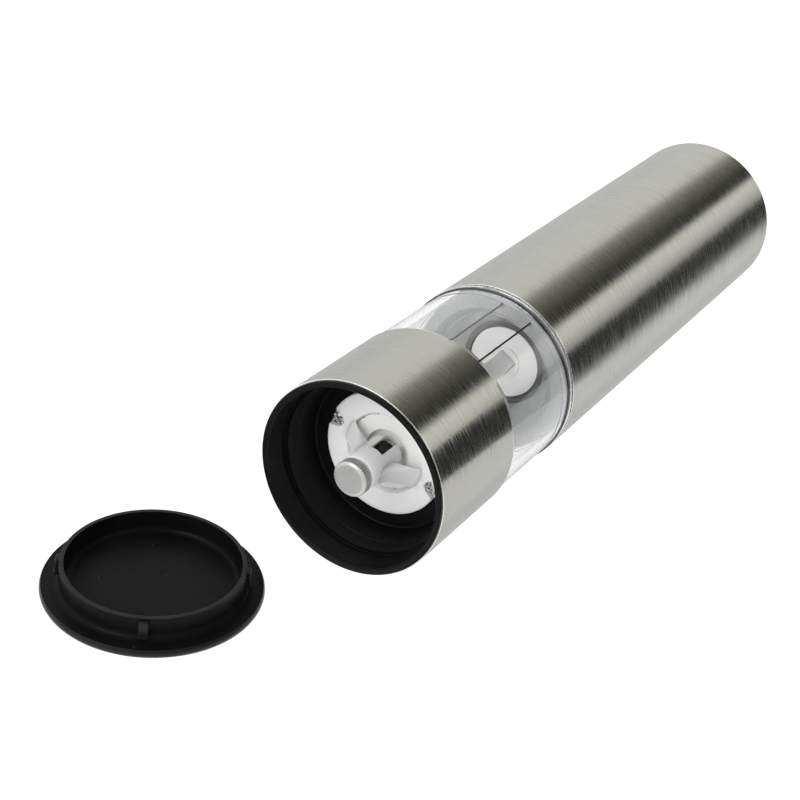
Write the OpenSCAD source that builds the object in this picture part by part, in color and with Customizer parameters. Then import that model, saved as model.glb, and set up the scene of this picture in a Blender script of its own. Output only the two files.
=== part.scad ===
// Electric pepper mill, lying on its side with its bottom cap taken off.
// Each piece of the mill is drawn upright, from the mouth at z = 0 up to the push button,
// and lay() then turns the mill onto its side along +Y. The cap lies beside the mouth.

/* [Casing] */
// Outer diameter of both steel sleeves
casing_d = 50; // [48:0.5:60]
// Wall of the steel sleeves
sleeve_wall = 0.5; // [0.4:0.1:0.8]
// Glue gap inside a sleeve
sleeve_fit = 0.1; // [0.05:0.05:0.2]
// Height of the lower sleeve's upper edge above the mouth
lower_len = 35.2; // [34:0.2:45]
// Height of the clear band between the sleeves
chamber_len = 33.4; // [25:0.2:60]
// Gap between the clear rim and the upper sleeve
seam_gap = 0.3; // [0.2:0.1:0.6]

/* [Mouth] */
// Thickness of the black lip that covers the lower sleeve's edge
lip = 0.8; // [0.6:0.1:1.5]
// How far the lip stands back from the sleeve's outside
lip_inset = 0.3; // [0.1:0.1:0.4]
// Width of the black rim round the mouth
rim_w = 1.5; // [1.2:0.1:2.2]
// Chamfer round the mouth's inner edge
mouth_chamfer = 0.5; // [0.2:0.1:0.8]
// Depth of the straight mouth that takes the cap
mouth_depth = 7; // [6.5:0.5:9]
// Width of the ledge behind the mouth
ledge_w = 1.2; // [0.6:0.1:1.6]
// How far the recess narrows towards its shelf
recess_taper = 1.6; // [0.5:0.1:2.2]
// Thickness of the barrel's floor
floor_t = 2.5; // [2:0.1:4]

/* [Clear chamber] */
// How far the clear wall stands back from the sleeves
chamber_inset = 0.5; // [0.3:0.1:1]
// Wall of the clear chamber
chamber_wall = 2; // [1.5:0.1:2.4]
// Length of the thicker rim
rim_len = 3.5; // [2.5:0.1:6]
// How far the rim stands back from the sleeves
rim_inset = 0.1; // [0:0.1:0.3]
// Length of the spigot in the barrel
spigot_len = 8.2; // [6:0.1:9]
// Wall of the spigot
spigot_wall = 2.3; // [2:0.1:2.6]
// Rise of the funnel floor
funnel_rise = 3; // [1:0.5:3]

/* [Grinder] */
// Depth of the white disc's face behind the mouth
base_depth = 15.5; // [14:0.1:18]
// Diameter of the white disc
base_d = 32.2; // [31:0.2:33]
// Thickness of the white disc
base_t = 2.5; // [2.2:0.1:4]
// How far the white disc stands out of its well
base_proud = 1; // [0.5:0.1:1.5]
// How far the opening under the burrs lies outside their grinding zone
open_margin = 0.1; // [0:0.1:0.5]
// How far the bridge's arms reach past that opening
bridge_foot = 0.6; // [0.4:0.1:1.2]
// Height of the bridge's arms above the disc
bridge_h = 7.5; // [6:0.5:9]
// Width of an arm at the hub
arm_w = 4; // [3:0.1:5]
// Width of an arm at its foot
foot_w = 6; // [4:0.1:8]
// Direction of the arms
arm_turn = 17; // [0:1:179]
// Diameter of the bridge's hub
hub_d = 9.4; // [9:0.2:10.4]
// Width of the opening in the hub's side
slot_w = 3.4; // [2.6:0.1:4]
// Length of the opening in the hub's side
slot_len = 7; // [5:0.1:7.4]
// Distance of the screws from the disc's edge
screw_inset = 1.6; // [1.5:0.1:2.2]
// Directions of the screws
screw_turns = [-163, -86, 17]; // [-180:1:180]
// Diameter of a screw head
screw_head_d = 3.4; // [3:0.1:3.6]
// Diameter of a screw's shank
screw_d = 1.9; // [1.4:0.1:2.4]
// Height of the burrs
burr_h = 10.5; // [8:0.5:11.5]
// Outer diameter of the fixed burr ring
ring_burr_d = 29; // [28:0.2:31]
// Wall of the fixed burr ring at its grinding zone
ring_wall = 4.2; // [3.8:0.1:4.6]
// Gap between the burrs in the grinding zone
grind_gap = 0.4; // [0.3:0.1:1]
// Number of teeth on each burr
burr_teeth = 14; // [8:1:20]

/* [Adjuster] */
// Diameter of the knurled knob
knob_d = 9.2; // [8:0.2:12]
// Thickness of the knob's head
knob_h = 3; // [2:0.1:4]
// How far the knob's face lies behind the mouth
knob_recess = 0.3; // [0.2:0.1:1]
// Number of ridges round the knob
knurls = 44; // [24:2:60]
// Diameter of the knob's thread
thread_d = 3.9; // [3:0.1:4.5]
// Height of the thrust cup on the shaft's tail
cup_h = 3.3; // [2.5:0.1:4]
// Height of the cup's foot below the disc's back
cup_drop = 6.5; // [6:0.1:7.5]
// Wall of the thrust cup
cup_wall = 0.9; // [0.6:0.1:1]
// Travel of the burr from fine to coarse
feed = 0.7; // [0.4:0.1:1]

/* [Drive shaft] */
// Width of the square shaft across its flats
shaft_w = 5; // [4:0.1:6]
// Width of the shaft's square tail under the burr
tail_w = 3.4; // [2.6:0.1:3.8]
// Direction of one flat of the shaft
shaft_turn = 32; // [0:1:89]

/* [Lamp] */
// Diameter of the lamp rods
rod_d = 0.7; // [0.5:0.1:0.9]
// Distance of the rods from the chamber's inner wall
rod_inset = 1.5; // [1.4:0.1:1.7]
// Directions of the two rods
rod_turns = [-85, -62]; // [-180:1:180]
// Direction of the lamp
lamp_turn = -72; // [-180:1:180]
// Diameter of the lamp
lamp_d = 3; // [2:0.1:3.4]
// Thickness of the lamp's board
board_t = 1; // [0.8:0.1:1.6]

/* [Bulkhead] */
// Thickness of the seal between chamber and bulkhead
seal_t = 0.7; // [0.5:0.1:1.5]
// Length of the plug inside the chamber's rim
plug_len = 2; // [1:0.1:3]
// Thickness of the bulkhead's flange
flange_t = 3; // [2:0.1:5]
// Depth of the gear case's nose behind the flange
nose_depth = 6.9; // [5:0.1:10]
// Diameter of the wide end of the conical recess
cone_d = 37; // [34:0.5:38]
// Diameter of the opening round the nose
cone_open_d = 24; // [22:0.2:26]

/* [Gears] */
// Gear module
gear_m = 0.7; // [0.65:0.05:0.72]
// Face width of the planets
gear_face = 5; // [4:0.5:7]
// Backlash cut from each tooth
backlash = 0.16; // [0.12:0.01:0.2]
// Diameter of the planet pins
gear_pin_d = 2.4; // [1.6:0.1:3]
// Thickness of the carriers
carrier_t = 2.4; // [2:0.1:4]
// Diameter of the gear case's nose
nose_d = 20; // [18:0.5:21]
// Length of the gear case's nose
nose_len = 2; // [1.5:0.1:4]
// Diameter of the output boss
boss_d = 9.2; // [9:0.1:11]
// Wall of the gear case
gear_wall = 2; // [1.5:0.1:3]

/* [Motor] */
// Diameter of the motor
motor_d = 24; // [20:0.5:30]
// Length of the motor can
motor_len = 31; // [25:0.5:38]
// Wall of the motor can
can_wall = 0.8; // [0.5:0.1:1.2]
// Length of the motor's end cap
end_cap_len = 3; // [2:0.1:6]
// Diameter of the armature
armature_d = 10; // [8:0.5:13]
// Diameter of the motor shaft
motor_shaft_d = 2; // [1.5:0.1:2.6]
// Thickness of the cover between gears and motor
cover_t = 2.5; // [2:0.1:4]
// Length of the motor's terminals
terminal_len = 2.5; // [1.5:0.1:4]

/* [Battery case] */
// Diameter of a cell
cell_d = 14.5; // [10:0.1:15]
// Length of a cell with its nub
cell_len = 50.5; // [40:0.5:60]
// Length of a contact spring
contact_len = 3.2; // [2.6:0.1:5]
// Thickness of a contact plate
contact_t = 0.4; // [0.3:0.1:0.8]
// Thickness of the case's end discs
case_t = 2.5; // [2:0.1:4]
// Wall of the chassis tube
chassis_wall = 2; // [1.5:0.1:2.4]
// Thickness of the webs between the cells
web_t = 1.4; // [1:0.1:2]

/* [Switch and button] */
// Width of the switch
switch_w = 12; // [8:0.5:16]
// Height of the switch
switch_h = 5.5; // [4:0.1:8]
// Room between the switch and the button's guide
head_room = 4.5; // [3.2:0.1:20]
// Diameter of the push button
button_d = 22; // [16:0.5:28]
// How far the button stands out of the top
button_proud = 1.5; // [0.5:0.1:4]
// Travel of the push button
button_travel = 2; // [1:0.1:2.4]
// Thickness of the top cap's plate
top_t = 1.7; // [1.2:0.1:3]
// Length of the button's guide
guide_len = 10; // [9:0.1:14]
// How far the button's flange reaches past its head
flange_over = 1.8; // [1.2:0.1:3]

/* [Bottom cap] */
// Diameter of the cap's flange
cap_d = 51.6; // [50:0.2:58]
// Thickness of the cap's flange
cap_t = 2.1; // [1.8:0.1:4]
// Height of the ring wall above the flange
cap_wall_h = 5.5; // [4.8:0.1:6.2]
// Wall of the ring
cap_wall = 1.3; // [1:0.1:2]
// Gap between the ring wall and the mouth
cap_clear = 1.7; // [1.5:0.1:2]
// Width of a lug on the ring wall
lug_w = 2.3; // [1.5:0.1:4]
// Height of a lug, down from the ring wall's edge
lug_h = 4.6; // [2:0.1:4.8]
// How far a lug stands out of the ring wall
lug_out = 1.2; // [0.6:0.1:1.4]
// Direction of the first lug
lug_turn = 33; // [0:1:89]
// Place of the cap's centre, from the middle of the mouth
cap_place = [-29, -34.5]; // [-120:0.5:120]

/* [Hidden] */
$fn = 64;

steel = "#b9b8b2";
bright = "#d8d8d6";
black = "#1a1a1b";
white = "#f3f3f0";
clear = [0.86, 0.89, 0.91, 0.4];
milky = [0.78, 0.79, 0.8, 0.8];
brass = "#c9a95c";

// Clearances: between pieces that run in each other, that slide past, and that only lie apart
run_gap = 0.05;
slide_gap = 0.3;
free_gap = 0.5;
eps = 0.01;

// Radii, from the casing inwards
casing_r = casing_d / 2;
sleeve_in = casing_r - sleeve_wall;
barrel_r = sleeve_in - sleeve_fit;
lip_r = casing_r - lip_inset;
mouth_r = barrel_r + sleeve_fit - rim_w;
chamber_r = casing_r - chamber_inset;
chamber_in = chamber_r - chamber_wall;
spigot_r = barrel_r - rim_w - 2 * sleeve_fit;
spigot_in = spigot_r - spigot_wall;
base_r = base_d / 2;
well_r = base_r + slide_gap;
screw_ring = base_r - screw_inset;
hub_r = hub_d / 2;
grind_r = ring_burr_d / 2 - ring_wall;
opening_r = grind_r + open_margin;
bridge_r = opening_r + bridge_foot;
lamp_r = well_r + lamp_d / 2 + free_gap;
rod_ring = chamber_in - rod_inset;
plug_r = chamber_in - slide_gap;
flange_r = sleeve_in - slide_gap;
chassis_r = sleeve_in - free_gap;
chassis_in = chassis_r - chassis_wall;
cell_ring = (cell_d + web_t + slide_gap) / sqrt(2);
guide_r = button_d / 2 + flange_over;

// Heights, from the mouth up
knob_z = knob_recess + knob_h;
hub_z = knob_z + slide_gap;
shelf_z = base_depth + base_proud;
floor_z = base_depth + base_t;
floor_top = floor_z + floor_t;
cup_z = floor_z - cup_drop;
cup_floor = 1.2;
cup_r = tail_w / 2 + cup_wall;
tail_z = cup_z + cup_floor + run_gap;
burr_top = floor_top + burr_h;
spigot_z = lower_len - spigot_len;
rim_top = lower_len + chamber_len - seam_gap;
seam_z = lower_len + chamber_len;
plug_z = rim_top - plug_len;
flange_z = rim_top + run_gap + seal_t;
chassis_z = flange_z + flange_t;
nose_z = flange_z + nose_depth;
gear_z = nose_z + nose_len;
gear_floor = 1.5;
carrier2_z = gear_z + gear_floor + slide_gap;
planet2_z = carrier2_z + carrier_t + slide_gap;
carrier1_z = planet2_z + gear_face + free_gap;
planet1_z = carrier1_z + carrier_t + slide_gap;
cover_z = planet1_z + gear_face + free_gap;
motor_z = cover_z + cover_t;
end_cap_z = motor_z + motor_len;
terminal_z = end_cap_z + end_cap_len;
case_z = terminal_z + terminal_len + free_gap;
contact_z = case_z + case_t;
contact_top = contact_z + 2 * contact_t + contact_len + cell_len;
switch_z = contact_top + case_t;
switch_top = switch_z + switch_h;
guide_z = switch_top + head_room;
top_z = guide_z + guide_len;
plunger_rise = button_travel + slide_gap;

// Gears: an epicyclic stage with equal sun and planets, so the ring has three times their teeth
small_teeth = 12;
ring_teeth = 3 * small_teeth;
pressure = 25;
addendum = 0.9 * gear_m;
dedendum = 1.2 * gear_m;
small_r = small_teeth * gear_m / 2;
ring_r = ring_teeth * gear_m / 2;
planet_ring = 2 * small_r;
gear_in = ring_r + dedendum;
gear_case_r = gear_in + gear_wall;
carrier_r = ring_r - addendum - free_gap;
socket_roof = 1;
socket_top = carrier2_z + carrier_t - socket_roof;
shaft_top = socket_top - feed - slide_gap;

// Footprint of the mill and its loose cap, centred on the origin
cap_r = cap_d / 2;
low_x = min(-casing_r, cap_place[0] - cap_r);
high_x = max(casing_r, cap_place[0] + cap_r);
low_y = min(0, cap_place[1] - cap_r);
high_y = top_z + button_proud;
centre = [(low_x + high_x) / 2, (low_y + high_y) / 2];

// Lays the upright mill on its side, mouth towards -Y, on the surface z = 0
module lay() {
  translate([-centre[0], -centre[1], casing_r]) rotate([-90, 0, 0]) children();
}

// Round piece from a list of [radius, height] points
module turned(points) {
  rotate_extrude() polygon(points);
}

// Straight tube between two radii and two heights
module tube(inner, outer, low, high) {
  turned([[inner, low], [outer, low], [outer, high], [inner, high]]);
}

// Straight rod standing at a radius and a direction
module post(radius, low, high, ring = 0, turn = 0) {
  rotate(turn) translate([ring, 0, low]) cylinder(r = radius, h = high - low);
}

// Square bar about the axis
module square_bar(width, low, high) {
  rotate(shaft_turn) translate([-width / 2, -width / 2, low]) cube([width, width, high - low]);
}

// Copies round the axis, count pieces from a first direction
module around(count, first = 0) {
  for (k = [0:count - 1]) rotate(first + 360 * k / count) children();
}

// Involute of an angle, in degrees
function involute(angle) = tan(angle) * 180 / PI - angle;

// Half of a tooth's angle at a radius, for a gear of some teeth that is thinned at its pitch circle
function half_tooth(teeth, radius, thin) =
  let (pitch = teeth * gear_m / 2, base = pitch * cos(pressure))
  90 / teeth - thin / pitch * 90 / PI + involute(pressure) - involute(acos(min(1, base / radius)));

// Gear outline: for each tooth the left flank up and the right flank down, with straight root sides
function gear_outline(teeth, root, tip, thin, steps = 4) =
  let (base = teeth * gear_m / 2 * cos(pressure), start = max(base, root),
       flank = [for (i = [0:steps]) start + (tip - start) * i / steps])
  [for (k = [0:teeth - 1])
    let (mid = 360 * k / teeth,
         foot = half_tooth(teeth, start, thin),
         up = [for (r = flank) [r, mid - half_tooth(teeth, r, thin)]],
         down = [for (i = [steps:-1:0]) [flank[i], mid + half_tooth(teeth, flank[i], thin)]],
         roots = root < base ? [[[root, mid - foot]], [[root, mid + foot]]] : [[], []])
    for (p = concat(roots[0], up, down, roots[1])) [p[0] * cos(p[1]), p[0] * sin(p[1])]];

// Small gear, sun or planet, between two heights
module small_gear(low, high) {
  outline = gear_outline(small_teeth, small_r - dedendum, small_r + addendum, backlash);
  translate([0, 0, low]) linear_extrude(high - low) polygon(outline);
}

// Coil spring: one round wire along a helix, as rings of six points
coil_rings = 8;
wire_sides = 6;
function coil_path(radius, length, turns) =
  [for (i = [0:turns * coil_rings]) let (a = 360 * i / coil_rings)
    [radius * cos(a), radius * sin(a), length * i / (turns * coil_rings)]];
function coil_gap(path, wire) =
  min([for (i = [0:len(path) - 1 - coil_rings]) norm(path[i + coil_rings] - path[i])]) - wire;
module coil(radius, wire, low, high, turns) {
  path = coil_path(radius, high - low - wire, turns);
  echo(least_gap_between_turns = coil_gap(path, wire));
  slope = (high - low - wire) / (turns * 2 * PI * radius);
  last = len(path) - 1;
  points = [for (i = [0:last]) let (a = 360 * i / coil_rings,
      out = [cos(a), sin(a), 0],
      up = [slope * sin(a), -slope * cos(a), 1] / sqrt(1 + slope * slope))
    for (j = [0:wire_sides - 1]) let (b = 360 * j / wire_sides)
      path[i] + wire / 2 * (cos(b) * out + sin(b) * up)];
  skin = [for (i = [0:last - 1]) for (j = [0:wire_sides - 1])
      let (p = i * wire_sides + j, q = i * wire_sides + (j + 1) % wire_sides)
    each [[p, q, q + wire_sides], [p, q + wire_sides, p + wire_sides]]];
  start_cap = [for (j = [1:wire_sides - 2]) [0, j + 1, j]];
  end_first = last * wire_sides;
  end_cap = [for (j = [1:wire_sides - 2]) [end_first, end_first + j, end_first + j + 1]];
  translate([0, 0, low + wire / 2])
    polyhedron(points, [for (f = concat(skin, start_cap, end_cap)) [f[0], f[2], f[1]]]);
}

// Brushed steel tube round the grinding end, behind the black lip
module lower_sleeve() {
  color(steel) lay() tube(sleeve_in, casing_r, lip, lower_len);
}

// Black barrel: lip, straight mouth, narrowing recess, well for the white disc, floor
module lower_barrel() {
  narrow = mouth_r - ledge_w;
  color(black) lay() difference() {
    turned([[mouth_r + mouth_chamfer, 0], [lip_r, 0], [lip_r, lip], [barrel_r, lip],
            [barrel_r, lower_len - slide_gap], [spigot_r + sleeve_fit, lower_len - slide_gap],
            [spigot_r + sleeve_fit, floor_top], [opening_r + free_gap, floor_top],
            [opening_r + free_gap, floor_z], [well_r, floor_z], [well_r, shelf_z],
            [narrow - recess_taper, shelf_z], [narrow, mouth_depth], [mouth_r, mouth_depth],
            [mouth_r, mouth_chamfer]]);
    for (turn = screw_turns) post(screw_d / 2 + run_gap, floor_z - eps, floor_top + eps, screw_ring, turn);
    post(lamp_d / 2 + run_gap, shelf_z - slide_gap - eps, floor_top + eps, lamp_r, lamp_turn);
  }
}

// Clear chamber: spigot in the barrel, funnel floor, wall and thicker rim
module spice_chamber() {
  funnel_r = ring_burr_d / 2 + slide_gap;
  funnel_z = burr_top - 1;
  color(clear) lay() difference() {
    turned([[funnel_r, spigot_z], [spigot_r, spigot_z], [spigot_r, lower_len], [chamber_r, lower_len],
            [chamber_r, rim_top - rim_len], [casing_r - rim_inset, rim_top - rim_len],
            [casing_r - rim_inset, rim_top], [chamber_in, rim_top],
            [chamber_in, lower_len + chamber_wall], [spigot_in, lower_len],
            [spigot_in, funnel_z + funnel_rise], [funnel_r, funnel_z]]);
    for (turn = rod_turns) post(rod_d / 2 + run_gap, spigot_z - eps, rim_top - rim_len, rod_ring, turn);
  }
}

// One arm of the bridge, from the hub's middle down to the disc, arched on its underside
arm_curve = 1.6;
arch_curve = 9;
arch_rise = 0.9;
module bridge_arm() {
  steps = 8;
  arch_z = base_depth - arch_rise;
  crest = [for (i = [0:steps]) let (share = 1 - i / steps)
    [bridge_r - (bridge_r - hub_r) * share, base_depth - bridge_h * pow(share, arm_curve)]];
  arch = [for (i = [steps:-1:0]) let (share = i / steps)
    [hub_r + (opening_r - hub_r) * share, arch_z + (floor_z - arch_z) * pow(share, arch_curve)]];
  side = concat([[0, base_depth - bridge_h]], crest, [[bridge_r, floor_z]], arch, [[0, arch_z]]);
  plan = [[0, -arm_w / 2], [bridge_r, -foot_w / 2], [bridge_r, foot_w / 2], [0, arm_w / 2]];
  intersection() {
    translate([0, foot_w, 0]) rotate([90, 0, 0]) linear_extrude(2 * foot_w) polygon(side);
    translate([0, 0, hub_z]) linear_extrude(floor_z) polygon(plan);
  }
}

// White disc with a two-armed bridge that carries the hub over its opening
screw_seat = 1.4;
hub_reach = 1;
module grinder_base() {
  hub_low = base_depth + hub_reach;
  color(white) lay() difference() {
    union() {
      tube(opening_r, base_r, base_depth, floor_z);
      post(hub_r, hub_z, hub_low);
      around(2, arm_turn) bridge_arm();
    }
    for (turn = screw_turns) {
      post(screw_head_d / 2 + slide_gap, base_depth - eps, base_depth + screw_seat, screw_ring, turn);
      post(screw_d / 2 + run_gap, base_depth, floor_z + eps, screw_ring, turn);
    }
    post(thread_d / 2 + run_gap, hub_z - eps, cup_z);
    post(cup_r + run_gap, cup_z - slide_gap, floor_z);
    rotate(arm_turn - 90) translate([0, -slot_w / 2, hub_low - slot_len])
      cube([hub_d, slot_w, slot_len + eps]);
  }
}

// Three cross-head screws that hold the disc to the barrel's floor
head_sink = 0.2;
cross_w = 0.5;
cross_turn = 30;
cross_share = 0.62;
module base_screws() {
  slot = screw_head_d * cross_share;
  color(bright) lay() for (place = screw_turns) rotate(place) difference() {
    union() {
      post(screw_head_d / 2, base_depth + head_sink, base_depth + screw_seat, screw_ring);
      post(screw_d / 2, base_depth + screw_seat - eps, floor_top, screw_ring);
    }
    for (turn = [0, 90]) translate([screw_ring, 0, base_depth + head_sink]) rotate(turn + cross_turn)
      translate([-slot / 2, -cross_w / 2, -eps]) cube([slot, cross_w, cross_w]);
  }
}

// Slanted V grooves that give a burr its teeth
groove_slant = 25;
module burr_grooves(ring, low, size) {
  around(burr_teeth) translate([ring, 0, low]) rotate([groove_slant, 0, 0]) rotate(45)
    translate([-size / 2, -size / 2, -2 * burr_h]) cube([size, size, 4 * burr_h]);
}

// Fixed burr ring on the barrel's floor, flaring towards the chamber
grind_zone = 3;
groove = 1.2;
burr_rim = 1;
module burr_ring() {
  flare_r = ring_burr_d / 2 - burr_rim;
  color(white) lay() difference() {
    turned([[grind_r, floor_top], [ring_burr_d / 2, floor_top], [ring_burr_d / 2, burr_top],
            [flare_r, burr_top], [grind_r, floor_top + grind_zone]]);
    intersection() {
      burr_grooves(grind_r, floor_top, groove);
      tube(grind_r - burr_rim, flare_r, floor_top + eps, burr_top + eps);
    }
  }
}

// Lamp in the barrel's floor, dome towards the mouth
module led_lamp() {
  radius = lamp_d / 2;
  dome_z = shelf_z + radius - slide_gap;
  color("#f5f3e6") lay() {
    post(radius, dome_z, floor_top, lamp_r, lamp_turn);
    rotate(lamp_turn) translate([lamp_r, 0, dome_z]) sphere(radius);
  }
}

// Board behind the lamp, which the rods stand in
module lamp_board() {
  spread = 8;
  first = min(rod_turns) - spread;
  sweep = max(rod_turns) - min(rod_turns) + 2 * spread;
  inner = max(lamp_r - lamp_d, ring_burr_d / 2 + free_gap);
  color("#3f6b4a") lay() difference() {
    rotate(first) rotate_extrude(angle = sweep)
      translate([inner, floor_top]) square([spigot_r - slide_gap - inner, board_t]);
    for (turn = rod_turns)
      post(rod_d / 2 + run_gap, floor_top - eps, floor_top + board_t + eps, rod_ring, turn);
  }
}

// Two rods along the chamber's wall, with thicker contact tips
tip_len = 1.5;
tip_d = 1.3;
module lamp_rods() {
  rod_top = plug_z - 2 * slide_gap;
  color(bright) lay() for (turn = rod_turns) {
    post(rod_d / 2, floor_top, rod_top - tip_len + eps, rod_ring, turn);
    post(tip_d / 2, rod_top - tip_len, rod_top, rod_ring, turn);
  }
}

// Knurled thumb screw in the hub
knob_chamfer = 0.6;
knurl_depth = 0.25;
module adjuster_knob() {
  radius = knob_d / 2;
  core = radius - 1.2 * knurl_depth;
  band_low = knob_recess + knob_chamfer;
  band_high = knob_z - knob_chamfer / 2;
  ridge = [for (i = [0:2 * knurls - 1]) let (a = 180 * i / knurls)
    (radius - (i % 2) * knurl_depth) * [cos(a), sin(a)]];
  color(bright) lay() {
    turned([[0, knob_recess], [radius - knob_chamfer, knob_recess], [core, band_low], [core, band_high],
            [core - knob_chamfer / 2, knob_z], [0, knob_z]]);
    translate([0, 0, band_low]) linear_extrude(band_high - band_low) polygon(ridge);
    post(thread_d / 2, knob_z - eps, cup_z - run_gap);
  }
}

// Blackened steel cup between the thumb screw's tip and the shaft's tail
module thrust_cup() {
  color("#3a3a3c") lay() difference() {
    post(cup_r, cup_z, cup_z + cup_h);
    post(tail_w / 2 + run_gap, cup_z + cup_floor, cup_z + cup_h + eps);
  }
}

// Square shaft: round end in the cup, square tail, square bar through the burr and the chamber
module drive_shaft() {
  color(bright) lay() {
    post(tail_w / 2, tail_z, cup_z + cup_h + slide_gap + eps);
    square_bar(tail_w, cup_z + cup_h + slide_gap, floor_top);
    square_bar(shaft_w, floor_top - eps, shaft_top);
  }
}

// Turning burr on the shaft: its skirt shows in the disc's opening, recessed round the hub
skirt_depth = 1.5;
hub_gap = 1.1;
hub_recess = 1.6;
module burr_cone() {
  waist_wall = 1.8;
  outer = grind_r - grind_gap;
  waist = shaft_w / sqrt(2) + waist_wall;
  skirt_r = opening_r - free_gap;
  low = base_depth + skirt_depth;
  roof = low + hub_recess;
  color(white) lay() difference() {
    turned([[0, roof], [hub_r + hub_gap, roof], [hub_r + hub_gap, low], [skirt_r, low],
            [skirt_r, floor_top + slide_gap], [outer, floor_top + slide_gap],
            [outer, floor_top + grind_zone], [waist, burr_top], [0, burr_top]]);
    square_bar(shaft_w + 2 * run_gap, floor_top, burr_top + eps);
    square_bar(tail_w + 2 * run_gap, roof - eps, floor_top + eps);
    burr_grooves(outer, floor_top + grind_zone, groove);
  }
}

// Milky plug that closes the chamber, with a conical recess towards the gear case's nose
module bulkhead() {
  cone_wall = 1.6;
  pin_wall = 0.4;
  open_r = cone_open_d / 2;
  color(milky) lay() difference() {
    union() {
      turned([[cone_d / 2, plug_z], [plug_r, plug_z], [plug_r, flange_z], [flange_r, flange_z],
              [flange_r, chassis_z], [cone_d / 2 + cone_wall, chassis_z], [open_r + cone_wall, gear_z],
              [open_r, gear_z], [open_r, nose_z - slide_gap]]);
      for (turn = rod_turns)
        post(pin_d / 2 + run_gap + pin_wall, plug_z + eps, chassis_z - eps, rod_ring, turn);
    }
    for (turn = rod_turns) post(pin_d / 2 + run_gap, plug_z - eps, chassis_z + eps, rod_ring, turn);
  }
}

// Rubber ring under the bulkhead's flange
module seal_ring() {
  color(black) lay() tube(plug_r, flange_r - slide_gap, flange_z - seal_t, flange_z);
}

// Pins that meet the lamp rods' tips
pin_d = 1.3;
module lamp_contacts() {
  color(brass) lay() for (turn = rod_turns)
    post(pin_d / 2, plug_z - slide_gap, chassis_z, rod_ring, turn);
}

// Gear case: nose with the output bearing, floor, and the ring gear's teeth along its wall
module gearbox_housing() {
  bore = boss_d / 2 + run_gap;
  space = gear_outline(ring_teeth, ring_r - addendum, gear_in, -backlash);
  color(white) lay() difference() {
    turned([[bore, nose_z], [nose_d / 2, nose_z], [nose_d / 2, gear_z], [gear_case_r, gear_z],
            [gear_case_r, cover_z], [bore, cover_z]]);
    translate([0, 0, gear_z + gear_floor]) rotate(180 / ring_teeth)
      linear_extrude(cover_z - gear_z) polygon(space);
  }
}

// Planet carrier: a plate with three pins
module carrier(low) {
  plate_top = low + carrier_t;
  pin_top = plate_top + slide_gap + gear_face + run_gap;
  post(carrier_r, low, plate_top);
  around(3) post(gear_pin_d / 2, plate_top - eps, pin_top, planet_ring);
}

// Carrier of the second stage, with the boss that runs in the nose and the shaft's socket
module output_carrier() {
  color(white) lay() difference() {
    union() {
      carrier(carrier2_z);
      post(boss_d / 2, nose_z - slide_gap, carrier2_z + eps);
    }
    square_bar(shaft_w + slide_gap, nose_z - slide_gap - eps, socket_top);
  }
}

// One planet of a stage, with a bore for its pin
module planet(index, low) {
  color(white) lay() rotate(120 * index) translate([planet_ring, 0, 0]) rotate(180 / small_teeth)
    difference() {
      small_gear(low, low + gear_face);
      post(gear_pin_d / 2 + run_gap, low - eps, low + gear_face + eps);
    }
}

// Carrier of the first stage, with the second stage's sun under it
module first_carrier() {
  color(white) lay() {
    carrier(carrier1_z);
    small_gear(planet2_z + free_gap, carrier1_z + eps);
  }
}

// First sun, pressed on the motor shaft
module motor_pinion() {
  color(brass) lay() difference() {
    small_gear(planet1_z, cover_z);
    post(motor_shaft_d / 2 + eps, planet1_z - eps, cover_z + eps);
  }
}

// Armature on the motor shaft, carried by the cover's bearing and the end cap
armature_gap = 8;
end_bearing = 2;
module motor_armature() {
  color("#8f8378") lay() {
    post(motor_shaft_d / 2, planet1_z, end_cap_z + end_bearing);
    post(armature_d / 2, motor_z + armature_gap, end_cap_z - armature_gap);
  }
}

// Steel can of the motor, with its bearing boss inside the front end
bearing_r = 3;
bearing_len = 3;
module motor_can() {
  radius = motor_d / 2;
  bore = motor_shaft_d / 2 + run_gap;
  color("#c9c9c6") lay() difference() {
    turned([[bore, motor_z], [radius, motor_z], [radius, end_cap_z], [radius - can_wall, end_cap_z],
            [radius - can_wall, motor_z + can_wall], [bearing_r, motor_z + can_wall],
            [bearing_r, motor_z + bearing_len], [bore, motor_z + bearing_len]]);
    around(2, 90)
      post(motor_screw_d / 2 + run_gap, motor_z - eps, motor_z + can_wall + eps, motor_screw_ring);
  }
}

// Two magnets inside the can
air_gap = 0.6;
magnet_angle = 140;
module motor_magnets() {
  inner = armature_d / 2 + air_gap;
  color("#3b3b3d") lay() around(2, 90 - magnet_angle / 2) rotate_extrude(angle = magnet_angle)
    translate([inner, motor_z + armature_gap])
      square([motor_d / 2 - can_wall - inner - run_gap, motor_len - 2 * armature_gap]);
}

// Plastic end cap of the motor, with the rear bearing
module motor_end_cap() {
  edge = 1;
  bore = motor_shaft_d / 2 + run_gap;
  roof_z = terminal_z - edge / 2;
  color("#e9e6dc") lay()
    turned([[bore, end_cap_z], [motor_d / 2, end_cap_z], [motor_d / 2, terminal_z - edge],
            [motor_d / 2 - edge, terminal_z], [0, terminal_z], [0, roof_z], [bore, roof_z]]);
}

// Two flat terminals on the end cap
module motor_terminals() {
  tab = [0.5, 3, terminal_len];
  color(brass) lay() around(2)
    translate([motor_d / 3 - tab[0] / 2, -tab[1] / 2, terminal_z]) cube(tab);
}

// Two screws that hold the motor to the cover, with heads sunk in the cover
motor_screw_ring = 8;
motor_screw_d = 2;
motor_head_r = 1.8;
motor_head_h = 1.2;
module motor_screws() {
  color(bright) lay() around(2, 90) {
    post(motor_head_r, cover_z, cover_z + motor_head_h, motor_screw_ring);
    post(motor_screw_d / 2, cover_z + motor_head_h - eps, motor_z + can_wall, motor_screw_ring);
  }
}

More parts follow.
